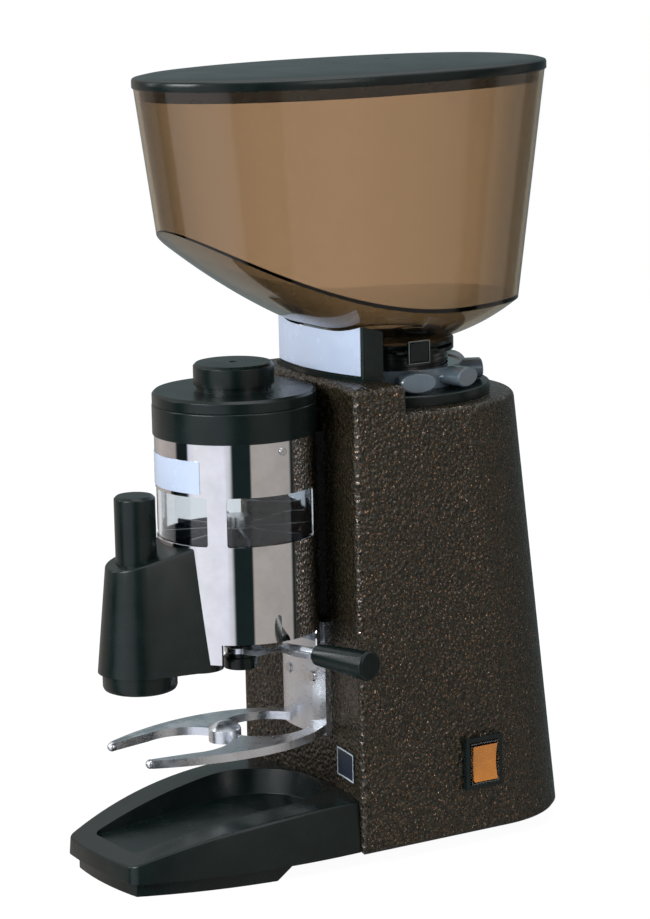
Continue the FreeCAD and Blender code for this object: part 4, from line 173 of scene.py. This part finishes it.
def plastic(name, colour, rough=0.35, grain=0.1, scale=900.0, coat=0.0, vary=0.25, shine=0.5):
    """Moulded plastic: a slow change of tone and gloss, and a fine grain."""
    m = Nodes(name)
    wide = m.noise(*PLASTIC_WIDE)
    m.vary("Base Color", wide, "Fac", (0.3, tone(colour, 1 - vary)), (0.7, tone(colour, 1 + vary)))
    m.vary("Roughness", wide, "Fac", (0.3, grey(rough - 0.04)), (0.75, grey(rough + 0.07)))
    m.set(Coat_Weight=coat, Coat_Roughness=0.12, Specular_IOR_Level=shine)
    fine = m.noise(scale, 3.0, 0.6)
    m.bump(fine, "Fac", grain, GRAIN_HEIGHT)
    return m.material


def metal(name, colour, rough=0.25, grain=0.1, scale=400.0, spread=0.08, bare=1.0):
    """Bare metal: patches of gloss and a fine grain."""
    m = Nodes(name)
    m.set(Metallic=bare)
    wide = m.noise(*METAL_WIDE)
    m.vary("Base Color", wide, "Fac", (0.3, tone(colour, 0.9)), (0.7, tone(colour, 1.06)))
    m.vary("Roughness", wide, "Fac", (0.3, grey(rough - spread)), (0.7, grey(rough + spread)))
    fine = m.noise(scale, 4.0, 0.6)
    m.bump(fine, "Fac", grain, METAL_GRAIN_HEIGHT)
    return m.material


def dust_and_flow(m, rough, dusty, wave):
    """Clear plastic's faint dust and its slow waves."""
    dust = m.noise(*DUST)
    m.vary("Roughness", dust, "Fac", (0.45, grey(rough)), (0.8, grey(dusty)))
    flow = m.noise(*FLOW)
    m.bump(flow, "Fac", wave, FLOW_HEIGHT)


def clear(name, colour):
    """Clear plastic."""
    m = Nodes(name)
    m.set(Base_Color=colour, IOR=PLASTIC_INDEX, Transmission_Weight=1.0)
    dust_and_flow(m, 0.03, 0.09, 0.05)
    return m.material


def smoked():
    """Smoked plastic, deeper in tone where its wall is seen edge on."""
    m = Nodes("smoked_plastic")
    m.set(IOR=PLASTIC_INDEX, Transmission_Weight=1.0)
    edge = m.add("ShaderNodeLayerWeight")
    edge.inputs["Blend"].default_value = 0.5
    m.vary("Base Color", edge, "Facing", *SMOKED_TONES)
    dust_and_flow(m, 0.02, 0.07, 0.03)
    return m.material


def hammer_paint():
    """Dark hammered paint: small rounded bumps, with copper flakes in the film."""
    m = Nodes("hammer_paint")
    bumps = m.cells(330.0, 0.5)
    broken = m.noise(480.0, 3.0, 0.65)
    flakes = m.noise(760.0, 2.0, 0.6)
    patches = m.noise(230.0, 3.0, 0.6)
    base = m.ramp(broken, "Fac", [(0.38, (0.003, 0.0035, 0.002, 1)), (0.66, (0.034, 0.029, 0.015, 1))])
    speck = m.ramp(flakes, "Fac", [(0.6, grey(0.0)), (0.68, grey(1.0))])
    copper = [(0.35, (0.26, 0.12, 0.06, 1)), (0.55, (0.40, 0.24, 0.15, 1)), (0.7, (0.72, 0.56, 0.48, 1))]
    warm = m.ramp(patches, "Fac", copper)
    mix = m.add("ShaderNodeMixRGB", blend_type="MIX")
    m.link(speck, "Color", mix, "Fac")
    m.link(base, "Color", mix, "Color1")
    m.link(warm, "Color", mix, "Color2")
    m.to_shader(mix, "Color", "Base Color")
    m.vary("Metallic", flakes, "Fac", (0.56, grey(0.1)), (0.66, grey(0.9)))
    m.vary("Roughness", bumps, "Distance", (0.0, grey(0.2)), (0.8, grey(0.4)))
    m.bump(bumps, "Distance", 0.8, 0.0014)
    return m.material


SMOKED_TONES = (
    (0.08, (0.56, 0.435, 0.315, 1)), (0.26, (0.38, 0.295, 0.20, 1)),
    (0.5, (0.20, 0.16, 0.105, 1)), (1.0, (0.07, 0.06, 0.045, 1)),
)
# name, maker, colour, and what differs from the maker's own settings
FINISHES = (
    ("black_sheet", plastic, (0.018, 0.018, 0.02, 1), {"rough": 0.45}),
    ("foot_rubber", plastic, (0.012, 0.012, 0.013, 1), {"rough": 0.7, "grain": 0.3}),
    ("steel", metal, (0.62, 0.62, 0.63, 1), {"rough": 0.22}),
    ("black_plastic", plastic, (0.004, 0.0095, 0.009, 1),
     {"rough": 0.25, "grain": 0.08, "scale": 1400.0, "shine": 0.32}),
    ("clear_plastic", clear, (0.80, 0.84, 0.87, 1), {}),
    ("amber_switch", plastic, (0.52, 0.185, 0.022, 1),
     {"rough": 0.2, "grain": 0.02, "scale": 500.0, "coat": 0.7, "vary": 0.15}),
    ("badge_dark", plastic, (0.012, 0.02, 0.035, 1), {}),
    ("copper", metal, (0.6, 0.28, 0.12, 1), {"rough": 0.35}),
    ("cast_aluminium", metal, (0.72, 0.76, 0.81, 1),
     {"rough": 0.28, "grain": 0.35, "scale": 420.0, "spread": 0.1, "bare": 0.97}),
    ("white_plastic", plastic, (0.49, 0.585, 0.76, 1),
     {"rough": 0.25, "grain": 0.03, "scale": 500.0, "coat": 0.3, "vary": 0.03}),
    ("black_metal", plastic, (0.012, 0.013, 0.014, 1),
     {"rough": 0.25, "grain": 0.05, "scale": 700.0, "coat": 0.4}),
    ("lobe_grey", plastic, (0.10, 0.135, 0.165, 1),
     {"rough": 0.16, "grain": 0.03, "scale": 500.0, "coat": 0.6, "vary": 0.12}),
    ("chrome", metal, (0.78, 0.79, 0.81, 1), {"rough": 0.04, "grain": 0.0, "scale": 200.0, "spread": 0.01}),
    # a lighter grey for the frame round the gate's tab: a painted highlight on the tab's edges
    ("edge_grey", plastic, (0.17, 0.20, 0.20, 1), {"rough": 0.3, "grain": 0.04, "coat": 0.3}),
    ("edge_pale", plastic, (0.45, 0.50, 0.55, 1), {"grain": 0.05}),
    ("wheel_dark", plastic, (0.012, 0.018, 0.032, 1), {"rough": 0.25}),
)
MATERIALS = {}


def make_materials():
    """One finish for each material slot of the record, and two for thin frames, one of them a lighter grey
    that is a painted highlight on the edges of the gate's tab.
    """
    MATERIALS["hammer_paint"] = hammer_paint()
    for name, maker, colour, settings in FINISHES:
        MATERIALS[name] = maker(name, colour, **settings)
    MATERIALS["smoked_plastic"] = smoked()


def dress_nodes():
    """Every node of the frame gets the finish of its slot."""
    for name, thing in frame["nodes"].items():
        finish = MATERIALS[SLOT_OF[name]]
        for slot in thing.material_slots:
            slot.material = finish
        if not thing.material_slots:
            thing.data.materials.append(finish)


def new_piece(name, mesh, body, slot, *nodes, finish=None):
    """A piece that rides on one body and has one slot, and stands for the nodes named, if any."""
    piece = bpy.data.objects.new(name, mesh)
    bpy.context.scene.collection.objects.link(piece)
    mesh.materials.clear()
    mesh.materials.append(MATERIALS[finish or slot])
    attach(piece, body)
    if nodes:
        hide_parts(*nodes)
    return piece


def smooth(mesh, angle):
    """Smooth shading, with edges sharper than the angle kept crisp."""
    mesh.shade_smooth()
    mesh.set_sharp_from_angle(angle=math.radians(angle))


def round_edges(piece, width, angle):
    """A small round, its width in millimetres, on edges sharper than the angle."""
    edge = piece.modifiers.new("round", "BEVEL")
    edge.width = width * MM
    edge.segments = 2
    edge.limit_method = "ANGLE"
    edge.angle_limit = math.radians(angle)
    edge.harden_normals = True


MERGE_WITHIN = 2e-6
FLAT_WITHIN = math.radians(0.8)
SOFT_ANGLE = 32.0


def soften(node, width):
    """Stands for a node with the same solid, whose sharp edges are given a small round."""
    mesh = frame["nodes"][node].data.copy()
    work = bmesh.new()
    work.from_mesh(mesh)
    bmesh.ops.remove_doubles(work, verts=work.verts, dist=MERGE_WITHIN)
    bmesh.ops.dissolve_limit(work, angle_limit=FLAT_WITHIN, verts=work.verts, edges=work.edges)
    work.to_mesh(mesh)
    work.free()
    if "custom_normal" in mesh.attributes:
        mesh.attributes.remove(mesh.attributes["custom_normal"])
    mesh.shade_smooth()
    piece = new_piece(node + "_soft", mesh, BODY_OF[node], SLOT_OF[node], node)
    round_edges(piece, width, SOFT_ANGLE)


def mesh_of_rings(name, rings, closed=True):
    """A skin over rings of points in millimetres; the last ring joins the first when closed."""
    count = len(rings[0])
    points = [tuple(point * MM) for ring in rings for point in ring]
    faces = []
    last = len(rings) if closed else len(rings) - 1
    for row in range(last):
        here = row * count
        below = (row + 1) % len(rings) * count
        for step in range(count):
            after = (step + 1) % count
            faces.append((here + step, here + after, below + after, below + step))
    mesh = bpy.data.meshes.new(name)
    mesh.from_pydata(points, [], faces)
    return mesh


def fix_normals(mesh, fill=False):
    """Turns all faces outward, after closing open ends where asked."""
    work = bmesh.new()
    work.from_mesh(mesh)
    if fill:
        bmesh.ops.holes_fill(work, edges=work.edges, sides=0)
    bmesh.ops.recalc_face_normals(work, faces=work.faces)
    work.to_mesh(mesh)
    work.free()


# the hopper's sizes in millimetres, the same as in the frame
HOPPER = {
    "middle": -52.0, "front": 202.0, "rear": 121.5, "half": 86.0, "top": 556.5, "wall": 3.0,
    "crease_front": 188.0, "crease_rear": 97.5, "crease_half": 76.0, "crease_low": 391.0, "crease_rise": 67.0,
    "crease_flat": 20.0, "sag": 9.0, "neck_high": 366.0, "neck_low": 344.0, "neck_radius": 35.0,
    "neck_wall": 3.0, "front_power": 2.0, "rear_power": 2.4,
}
AROUND = 144
WALL_SHARES = (0.0, 0.25, 0.5, 0.75, 0.9, 0.975, 1.0)
FUNNEL_ROWS = 26
HOPPER_SMOOTH = 40.0
HOPPER_ROUND = 0.6
GATE_SLOT = ((-31.1, -29.1, 360.9), (60.0, 29.1, 363.1))


def oval(half, front, rear, height_at, share=1.0):
    """Points round the hopper's plan, in millimetres."""
    middle = HOPPER["middle"]
    points = []
    for step in range(AROUND):
        angle = 2 * math.pi * step / AROUND
        across = math.cos(angle)
        along = math.sin(angle)
        power = 2.0 / (HOPPER["front_power"] if along < 0 else HOPPER["rear_power"])
        x = half * math.copysign(abs(across) ** power, across)
        reach = (middle + front) if along < 0 else (rear - middle)
        y = middle + reach * math.copysign(abs(along) ** power, along)
        points.append(Vector((x * share, y * share, height_at(y))))
    return points


def crease_height(y):
    """The level of the crease between wall and funnel, which rises towards the front."""
    h = HOPPER
    ahead = max(0.0, h["crease_flat"] - y)
    return h["crease_low"] + h["crease_rise"] * (ahead / (h["crease_flat"] + h["crease_front"])) ** 2


def hopper_rings(inset):
    """Rings down one face of the hopper's wall, from the mouth to the foot of the neck."""
    h = HOPPER
    rim = oval(h["half"] - inset, h["front"] - inset, h["rear"] - inset, lambda y: h["top"])
    crease = oval(
        h["crease_half"] - inset, h["crease_front"] - inset, h["crease_rear"] - inset,
        lambda y: crease_height(y) + inset,
    )
    radius = h["neck_radius"] - (h["neck_wall"] if inset else 0)
    level = h["neck_high"] + inset
    neck = []
    for point in crease:
        angle = math.atan2(point.y, point.x)
        neck.append(Vector((radius * math.cos(angle), radius * math.sin(angle), level)))
    rings = []
    for share in WALL_SHARES:
        rings.append([a.lerp(b, share) for a, b in zip(rim, crease)])
    drop = 4 * h["sag"] / h["crease_front"]
    for row in range(1, FUNNEL_ROWS + 1):
        share = row / FUNNEL_ROWS
        ring = []
        for a, b in zip(crease, neck):
            sag = drop * share * (1 - share) * math.hypot(a.x, a.y)
            ring.append(a.lerp(b, share) - Vector((0, 0, sag)))
        rings.append(ring)
    rings.append([Vector((p.x, p.y, h["neck_low"])) for p in neck])
    return rings


def make_hopper():
    """The bean hopper as one smooth clear shell, open at mouth and neck, with the gate's slot."""
    outer = hopper_rings(0.0)
    inner = hopper_rings(HOPPER["wall"])
    mesh = mesh_of_rings("hopper_shell", outer + inner[::-1])
    fix_normals(mesh)
    done = carve(mesh, box_mesh("gate_slot", *GATE_SLOT))
    smooth(done, HOPPER_SMOOTH)
    piece = new_piece("hopper_shell", done, "hopper", "smoked_plastic", "hopper")
    round_edges(piece, HOPPER_ROUND, HOPPER_SMOOTH)


def box_mesh(name, low, high):
    """A box between two corners in millimetres."""
    mesh = bpy.data.meshes.new(name)
    work = bmesh.new()
    bmesh.ops.create_cube(work, size=1.0)
    size = Vector(high) - Vector(low)
    middle = (Vector(high) + Vector(low)) / 2
    for vertex in work.verts:
        vertex.co = Vector([vertex.co[i] * size[i] + middle[i] for i in range(3)]) * MM
    work.to_mesh(mesh)
    work.free()
    return mesh


def carve(blank, cutter):
    """The first mesh with the second taken away, made with two helper objects that are then deleted."""
    thing = bpy.data.objects.new("blank", blank)
    tool = bpy.data.objects.new("cutter", cutter)
    for each in (thing, tool):
        bpy.context.scene.collection.objects.link(each)
    cut = thing.modifiers.new("cut", "BOOLEAN")
    cut.object = tool
    cut.operation = "DIFFERENCE"
    cut.solver = "EXACT"
    bpy.context.view_layer.update()
    made = bpy.data.meshes.new_from_object(thing.evaluated_get(bpy.context.evaluated_depsgraph_get()))
    bpy.data.objects.remove(thing)
    bpy.data.objects.remove(tool)
    return made


LID = {"over": 1.2, "rim": 7.0, "rise": 3.8, "wall": 2.4, "skirt": 8.0, "skirt_wall": 2.0, "play": 1.5}
DOME_SHARES = (0.97, 0.93, 0.87, 0.8, 0.7, 0.6, 0.48, 0.36, 0.24, 0.12, 0.02)
UNDER_SHARES = (0.02, 0.36, 0.7)
DOME_POWER = 2.2
LID_SMOOTH = 50.0


def make_lid():
    """The hopper's lid: a crisp rim, a low dome, and a skirt inside the hopper's mouth."""
    h = HOPPER
    mouth = h["top"]
    top = mouth + LID["rim"]
    low = mouth - LID["skirt"]
    gap = LID["over"] + h["wall"] + LID["play"]
    inside = gap + LID["skirt_wall"]

    def ring(level, inset, share=1.0):
        out = LID["over"] - inset
        return oval(h["half"] + out, h["front"] + out, h["rear"] + out, lambda y: level, share)

    rings = [
        ring(low, inside), ring(low, gap + 0.4), ring(low + 0.4, gap), ring(mouth, gap), ring(mouth, 0.5),
        ring(mouth + 0.5, 0), ring(top - 1.6, 0), ring(top - 0.5, 0.5), ring(top, 1.6),
    ]
    for share in DOME_SHARES:
        rings.append(ring(top + LID["rise"] * math.sqrt(1 - share**DOME_POWER), 1.6, share))
    for share in UNDER_SHARES:
        rings.append(ring(top + LID["rise"] - LID["wall"], inside, share))
    rings.append(ring(top - LID["wall"], inside))
    mesh = mesh_of_rings("lid", rings)
    fix_normals(mesh)
    smooth(mesh, LID_SMOOTH)
    new_piece("hopper_lid_dome", mesh, "cover", "black_plastic", "hopper_lid")


LATHE_STEPS = 48
SMALLEST_RADIUS = 0.01
# a pan head's outline as shares of its radius and height
PAN_OUTLINE = ((1.0, 0.0), (1.0, 0.35), (0.93, 0.62), (0.76, 0.84), (0.5, 0.97), (0.2, 1.0))
CROSS_REACH = 0.62
CROSS_HALF_WIDTH = 0.12
CROSS_FLOOR = 0.45
CROSS_OVER = 1.5
SCREW_SMOOTH = 38.0


def lathe(name, profile):
    """A turned solid about its own z axis, from radius and height pairs in millimetres."""
    angles = [2 * math.pi * step / LATHE_STEPS for step in range(LATHE_STEPS)]
    rings = []
    for radius, height in profile:
        reach = max(radius, SMALLEST_RADIUS)
        rings.append([Vector((reach * math.cos(a), reach * math.sin(a), height)) for a in angles])
    mesh = mesh_of_rings(name, rings, closed=False)
    fix_normals(mesh, fill=True)
    return mesh


def pan_screw(name, spot, axis, radius, height):
    """A pan head with a cross recess, its seat at one spot and its crown along the axis."""
    mesh = lathe(name, [(radius * wide, height * high) for wide, high in PAN_OUTLINE])
    arm = radius * CROSS_REACH
    half = radius * CROSS_HALF_WIDTH
    for turn in (45.0, 135.0):
        cutter = box_mesh("cutter", (-arm, -half, height * CROSS_FLOOR), (arm, half, height * CROSS_OVER))
        cutter.transform(Matrix.Rotation(math.radians(turn), 4, "Z"))
        mesh = carve(mesh, cutter)
    mesh.transform(Vector(axis).to_track_quat("Z", "Y").to_matrix().to_4x4())
    mesh.transform(Matrix.Translation(Vector(spot) * MM))
    smooth(mesh, SCREW_SMOOTH)
    new_piece(name, mesh, "grinder", "steel")


# the casing's hollow front: half its width, how deep it is, and where its corners stand
FRONT_HALF = 82.0
FRONT_HOLLOW = 11.0
FRONT_CORNER_Y = -76.0


def front_face_y(x, proud=0.0):
    """The y of the casing's hollow front at one x, less what stands proud of it."""
    radius = (FRONT_HALF**2 + FRONT_HOLLOW**2) / (2 * FRONT_HOLLOW)
    return FRONT_CORNER_Y - radius + math.sqrt(radius**2 - x * x) - proud


STRIP_STEPS = 12


def frame_strip(name, corner_at, width, height, edge, proud):
    """A thin raised frame on a plate; corner_at gives the place of a point of the plate."""
    work = bmesh.new()

    def bar(u0, u1, v0, v1):
        rows = []
        for i in range(STRIP_STEPS + 1):
            u = u0 + (u1 - u0) * i / STRIP_STEPS
            section = ((v0, 0), (v0, proud), (v1, proud), (v1, 0))
            rows.append([work.verts.new(Vector(corner_at(u, v, k)) * MM) for v, k in section])
        for a, b in zip(rows, rows[1:]):
            for k in range(4):
                n = (k + 1) % 4
                work.faces.new((a[k], a[n], b[n], b[k]))
        work.faces.new(rows[0])
        work.faces.new(rows[-1][::-1])

    bar(0, width, 0, edge)
    bar(0, width, height - edge, height)
    bar(0, edge, edge, height - edge)
    bar(width - edge, width, edge, height - edge)
    bmesh.ops.recalc_face_normals(work, faces=work.faces)
    mesh = bpy.data.meshes.new(name)
    work.to_mesh(mesh)
    work.free()
    return mesh


# in millimetres: where each frame starts, its width, height, edge and how far it stands out
BADGE = {"x": 37.6, "z": 59.1, "stand": 0.75, "frame": (28.8, 20.8, 1.1, 0.3)}
TAB = {"sunk": 0.35, "y": -20.7, "z": 354.0, "frame": (18.0, 16.3, 1.3, 0.35)}
SCREW = {"side": 16.0, "seat_x": 29.0, "seat": 6.2, "z": 128.3, "radius": 4.1, "height": 2.6}


def badge_point(u, v, k):
    x = BADGE["x"] + u
    return x, front_face_y(x, BADGE["stand"] + k), BADGE["z"] + v


def make_trim():
    """Small things: a pale edge round the badge, a lighter grey frame round the gate's tab that is a painted
    highlight on its edges, and the screws of the fork.
    """
    badge = frame_strip("badge_rim", badge_point, *BADGE["frame"])
    new_piece("badge_rim", badge, "grinder", "white_plastic", finish="edge_pale")
    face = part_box("bean_gate")[1].x / MM - TAB["sunk"]
    # the tab's frame is a painted highlight: lighter grey standing for light caught on the tab's edges
    tab = frame_strip("tab_rim_painted_highlight", lambda u, v, k: (face + k, TAB["y"] + u, TAB["z"] + v), *TAB["frame"])
    new_piece("tab_rim_painted_highlight", tab, "gate", "black_plastic", finish="edge_grey")
    seat = front_face_y(SCREW["seat_x"]) - SCREW["seat"]
    for side in (-1, 1):
        spot = (SCREW["side"] * side, seat, SCREW["z"])
        pan_screw("fork_screw_%d" % (side + 1), spot, (0, -1, 0), SCREW["radius"], SCREW["height"])


def make_spring():
    """The tamper's spring, a piece with its own copy of the frame's coil, riding on the spring's body."""
    name = "tamper_spring"
    node = frame["nodes"][name]
    piece = new_piece("tamper_spring_coil", node.data.copy(), BODY_OF[name], SLOT_OF[name], name)
    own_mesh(piece)


# what chrome and gloss see round the object: an angle about the upright axis and a colour
DARK = (0.012, 0.016, 0.017)
DARK_GREEN = (0.012, 0.02, 0.02)
DARK_GREY = (0.02, 0.025, 0.025)
BANDS = (
    (-180, (0.44, 0.41, 0.38)), (-165, (0.52, 0.46, 0.43)), (-126, (0.40, 0.36, 0.34)), (-122, DARK),
    (-104, DARK), (-101, (0.80, 0.81, 0.92)), (-90, (0.95, 0.95, 1.0)), (-50, (0.90, 0.90, 1.0)),
    (-39, (0.66, 0.66, 0.70)), (-36, DARK_GREEN), (-11, DARK_GREEN), (-9, (0.44, 0.40, 0.37)),
    (50, (0.40, 0.37, 0.35)), (53, DARK_GREY), (62, DARK_GREY), (64, (0.42, 0.39, 0.36)),
    (84, (0.42, 0.40, 0.38)), (88, (0.06, 0.07, 0.07)), (102, (0.09, 0.11, 0.115)), (125, (0.15, 0.19, 0.20)),
    (150, (0.19, 0.24, 0.25)), (180, (0.44, 0.41, 0.38)),
)
SKY = (0.85, 0.87, 0.9, 1)
SKY_FROM = 0.3
SKY_FULL = 0.75
SOFT_LIGHT = 0.36


def math_node(add, link, kind, first, second):
    """One Math node on two sockets; a difference is kept at zero or more."""
    node = add("ShaderNodeMath", operation=kind, use_clamp=kind == "SUBTRACT")
    link(first, node.inputs[0])
    link(second, node.inputs[1])
    return node.outputs[0]


def make_world():
    """White to the camera and through glass, bands to gloss, and a soft light for the rest."""
    world = bpy.data.worlds.new("studio")
    bpy.context.scene.world = world
    world.use_nodes = True
    link = world.node_tree.links.new

    def add(kind, **settings):
        node = world.node_tree.nodes.new(kind)
        for key, value in settings.items():
            setattr(node, key, value)
        return node

    def mixed(share, first, second):
        node = add("ShaderNodeMixRGB")
        for value, entry in ((share, "Fac"), (first, "Color1"), (second, "Color2")):
            if isinstance(value, tuple):
                node.inputs[entry].default_value = value
            else:
                link(value, node.inputs[entry])
        return node.outputs["Color"]

    back = world.node_tree.nodes["Background"]
    path = add("ShaderNodeLightPath").outputs
    split = add("ShaderNodeSeparateXYZ")
    link(add("ShaderNodeTexCoord").outputs["Generated"], split.inputs[0])
    turn = math_node(add, link, "ARCTAN2", split.outputs["Y"], split.outputs["X"])
    part = add("ShaderNodeMapRange")
    part.inputs["From Min"].default_value = -math.pi
    part.inputs["From Max"].default_value = math.pi
    link(turn, part.inputs["Value"])
    bands = add("ShaderNodeValToRGB")
    line = bands.color_ramp.elements
    for angle, colour in BANDS:
        position = (angle + 180.0) / 360.0
        element = {0.0: line[0], 1.0: line[-1]}.get(position) or line.new(position)
        element.position = position
        element.color = colour + (1.0,)
    link(part.outputs["Result"], bands.inputs["Fac"])
    rise = add("ShaderNodeMapRange", interpolation_type="SMOOTHSTEP")
    rise.inputs["From Min"].default_value = SKY_FROM
    rise.inputs["From Max"].default_value = SKY_FULL
    link(split.outputs["Z"], rise.inputs["Value"])
    sky = mixed(rise.outputs["Result"], bands.outputs["Color"], SKY)
    thrown = math_node(add, link, "SUBTRACT", path["Is Glossy Ray"], path["Is Transmission Ray"])
    link(mixed(thrown, (1, 1, 1, 1), sky), back.inputs["Color"])
    seen = math_node(add, link, "MAXIMUM", path["Is Camera Ray"], path["Is Transmission Ray"])
    shown = math_node(add, link, "MAXIMUM", seen, path["Is Glossy Ray"])
    strength = add("ShaderNodeMapRange")
    strength.inputs["To Min"].default_value = SOFT_LIGHT
    link(shown, strength.inputs["Value"])
    link(strength.outputs["Result"], back.inputs["Strength"])


FLOOR_HALF = 6.0
FLOOR_GLOW = 1.09
FLOOR_GLOW_SHARE = 0.88


def make_floor():
    """A pale floor that is white to the camera, keeps the shadow, and isn't in the way of gloss."""
    mesh = bpy.data.meshes.new("floor")
    size = FLOOR_HALF
    corners = [(-size, -size, 0), (size, -size, 0), (size, size, 0), (-size, size, 0)]
    mesh.from_pydata(corners, [], [(0, 1, 2, 3)])
    floor = bpy.data.objects.new("floor", mesh)
    bpy.context.scene.collection.objects.link(floor)
    m = Nodes("floor")
    m.set(Roughness=0.9)
    soft = m.noise(3.0, 2.0)
    m.vary("Base Color", soft, "Fac", (0.2, grey(0.80)), (0.8, grey(0.84)))
    link = m.tree.links.new
    path = m.add("ShaderNodeLightPath").outputs
    white = m.add("ShaderNodeEmission")
    white.inputs["Strength"].default_value = FLOOR_GLOW
    seen = math_node(m.add, link, "MAXIMUM", path["Is Camera Ray"], path["Is Transmission Ray"])
    most = m.add("ShaderNodeMath", operation="MULTIPLY")
    link(seen, most.inputs[0])
    most.inputs[1].default_value = FLOOR_GLOW_SHARE
    mix = m.add("ShaderNodeMixShader")
    m.link(most, "Value", mix, 0)
    m.link(m.shader, "BSDF", mix, 1)
    m.link(white, "Emission", mix, 2)
    thrown = math_node(m.add, link, "SUBTRACT", path["Is Glossy Ray"], path["Is Transmission Ray"])
    last = m.add("ShaderNodeMixShader")
    link(thrown, last.inputs[0])
    m.link(mix, "Shader", last, 1)
    m.link(m.add("ShaderNodeBsdfTransparent"), "BSDF", last, 2)
    m.link(last, "Shader", m.out, "Surface")
    mesh.materials.append(m.material)


# name, place, what it points at, its two sides, all in metres, and its power
LAMPS = (
    ("key", (0.5, -2.5, 1.3), (0, -0.05, 0.35), (1.2, 1.0), 54.0),
    ("edge", (-1.3, -2.1, 1.2), (0, -0.1, 0.3), (0.5, 1.6), 10.0),
    ("fill", (2.6, 0.4, 1.2), (0, 0, 0.3), (0.9, 1.8), 11.0),
    ("top", (0.2, 0.2, 2.8), (0, 0, 0.3), (1.6, 1.6), 18.0),
)


def make_stage():
    """Floor, surroundings and lamps."""
    scene = bpy.context.scene
    scene.view_settings.view_transform = "Standard"
    make_floor()
    make_world()
    for name, spot, target, size, power in LAMPS:
        data = bpy.data.lights.new(name, "AREA")
        data.shape = "RECTANGLE"
        data.size, data.size_y = size
        data.energy = power
        lamp = bpy.data.objects.new(name, data)
        scene.collection.objects.link(lamp)
        lamp.location = spot
        lamp.visible_transmission = False
        lamp.rotation_euler = (Vector(target) - Vector(spot)).to_track_quat("-Z", "Y").to_euler()


# nodes that keep their solid and get rounds of this width in millimetres on their sharp edges
SOFTENED = (
    ("doser_collar", 0.5), ("doser_lid", 0.8), ("tamper_bracket", 0.7), ("tamper_foot", 0.6),
    ("tamper_cap", 0.6), ("lever_hub", 0.5), ("lever_arm", 1.0), ("lever_handle", 0.6), ("fork", 1.0),
    ("tray", 0.6), ("graduated_disc", 0.4), ("adjusting_ring", 1.2), ("name_box", 0.6),
    ("switch_bezel", 0.7), ("switch_rocker", 0.7), ("upper_burr_carrier", 0.25), ("gate_collar", 0.4),
    ("bean_gate", 0.5), ("casing", 1.6), ("cable_gland", 0.5), ("portion_wheel", 0.4),
    ("doser_saddle", 0.5), ("doser_screws", 0.8),
)

make_camera()
make_stage()
make_materials()
dress_nodes()
make_hopper()
make_lid()
make_trim()
make_spring()
for node, width in SOFTENED:
    soften(node, width)
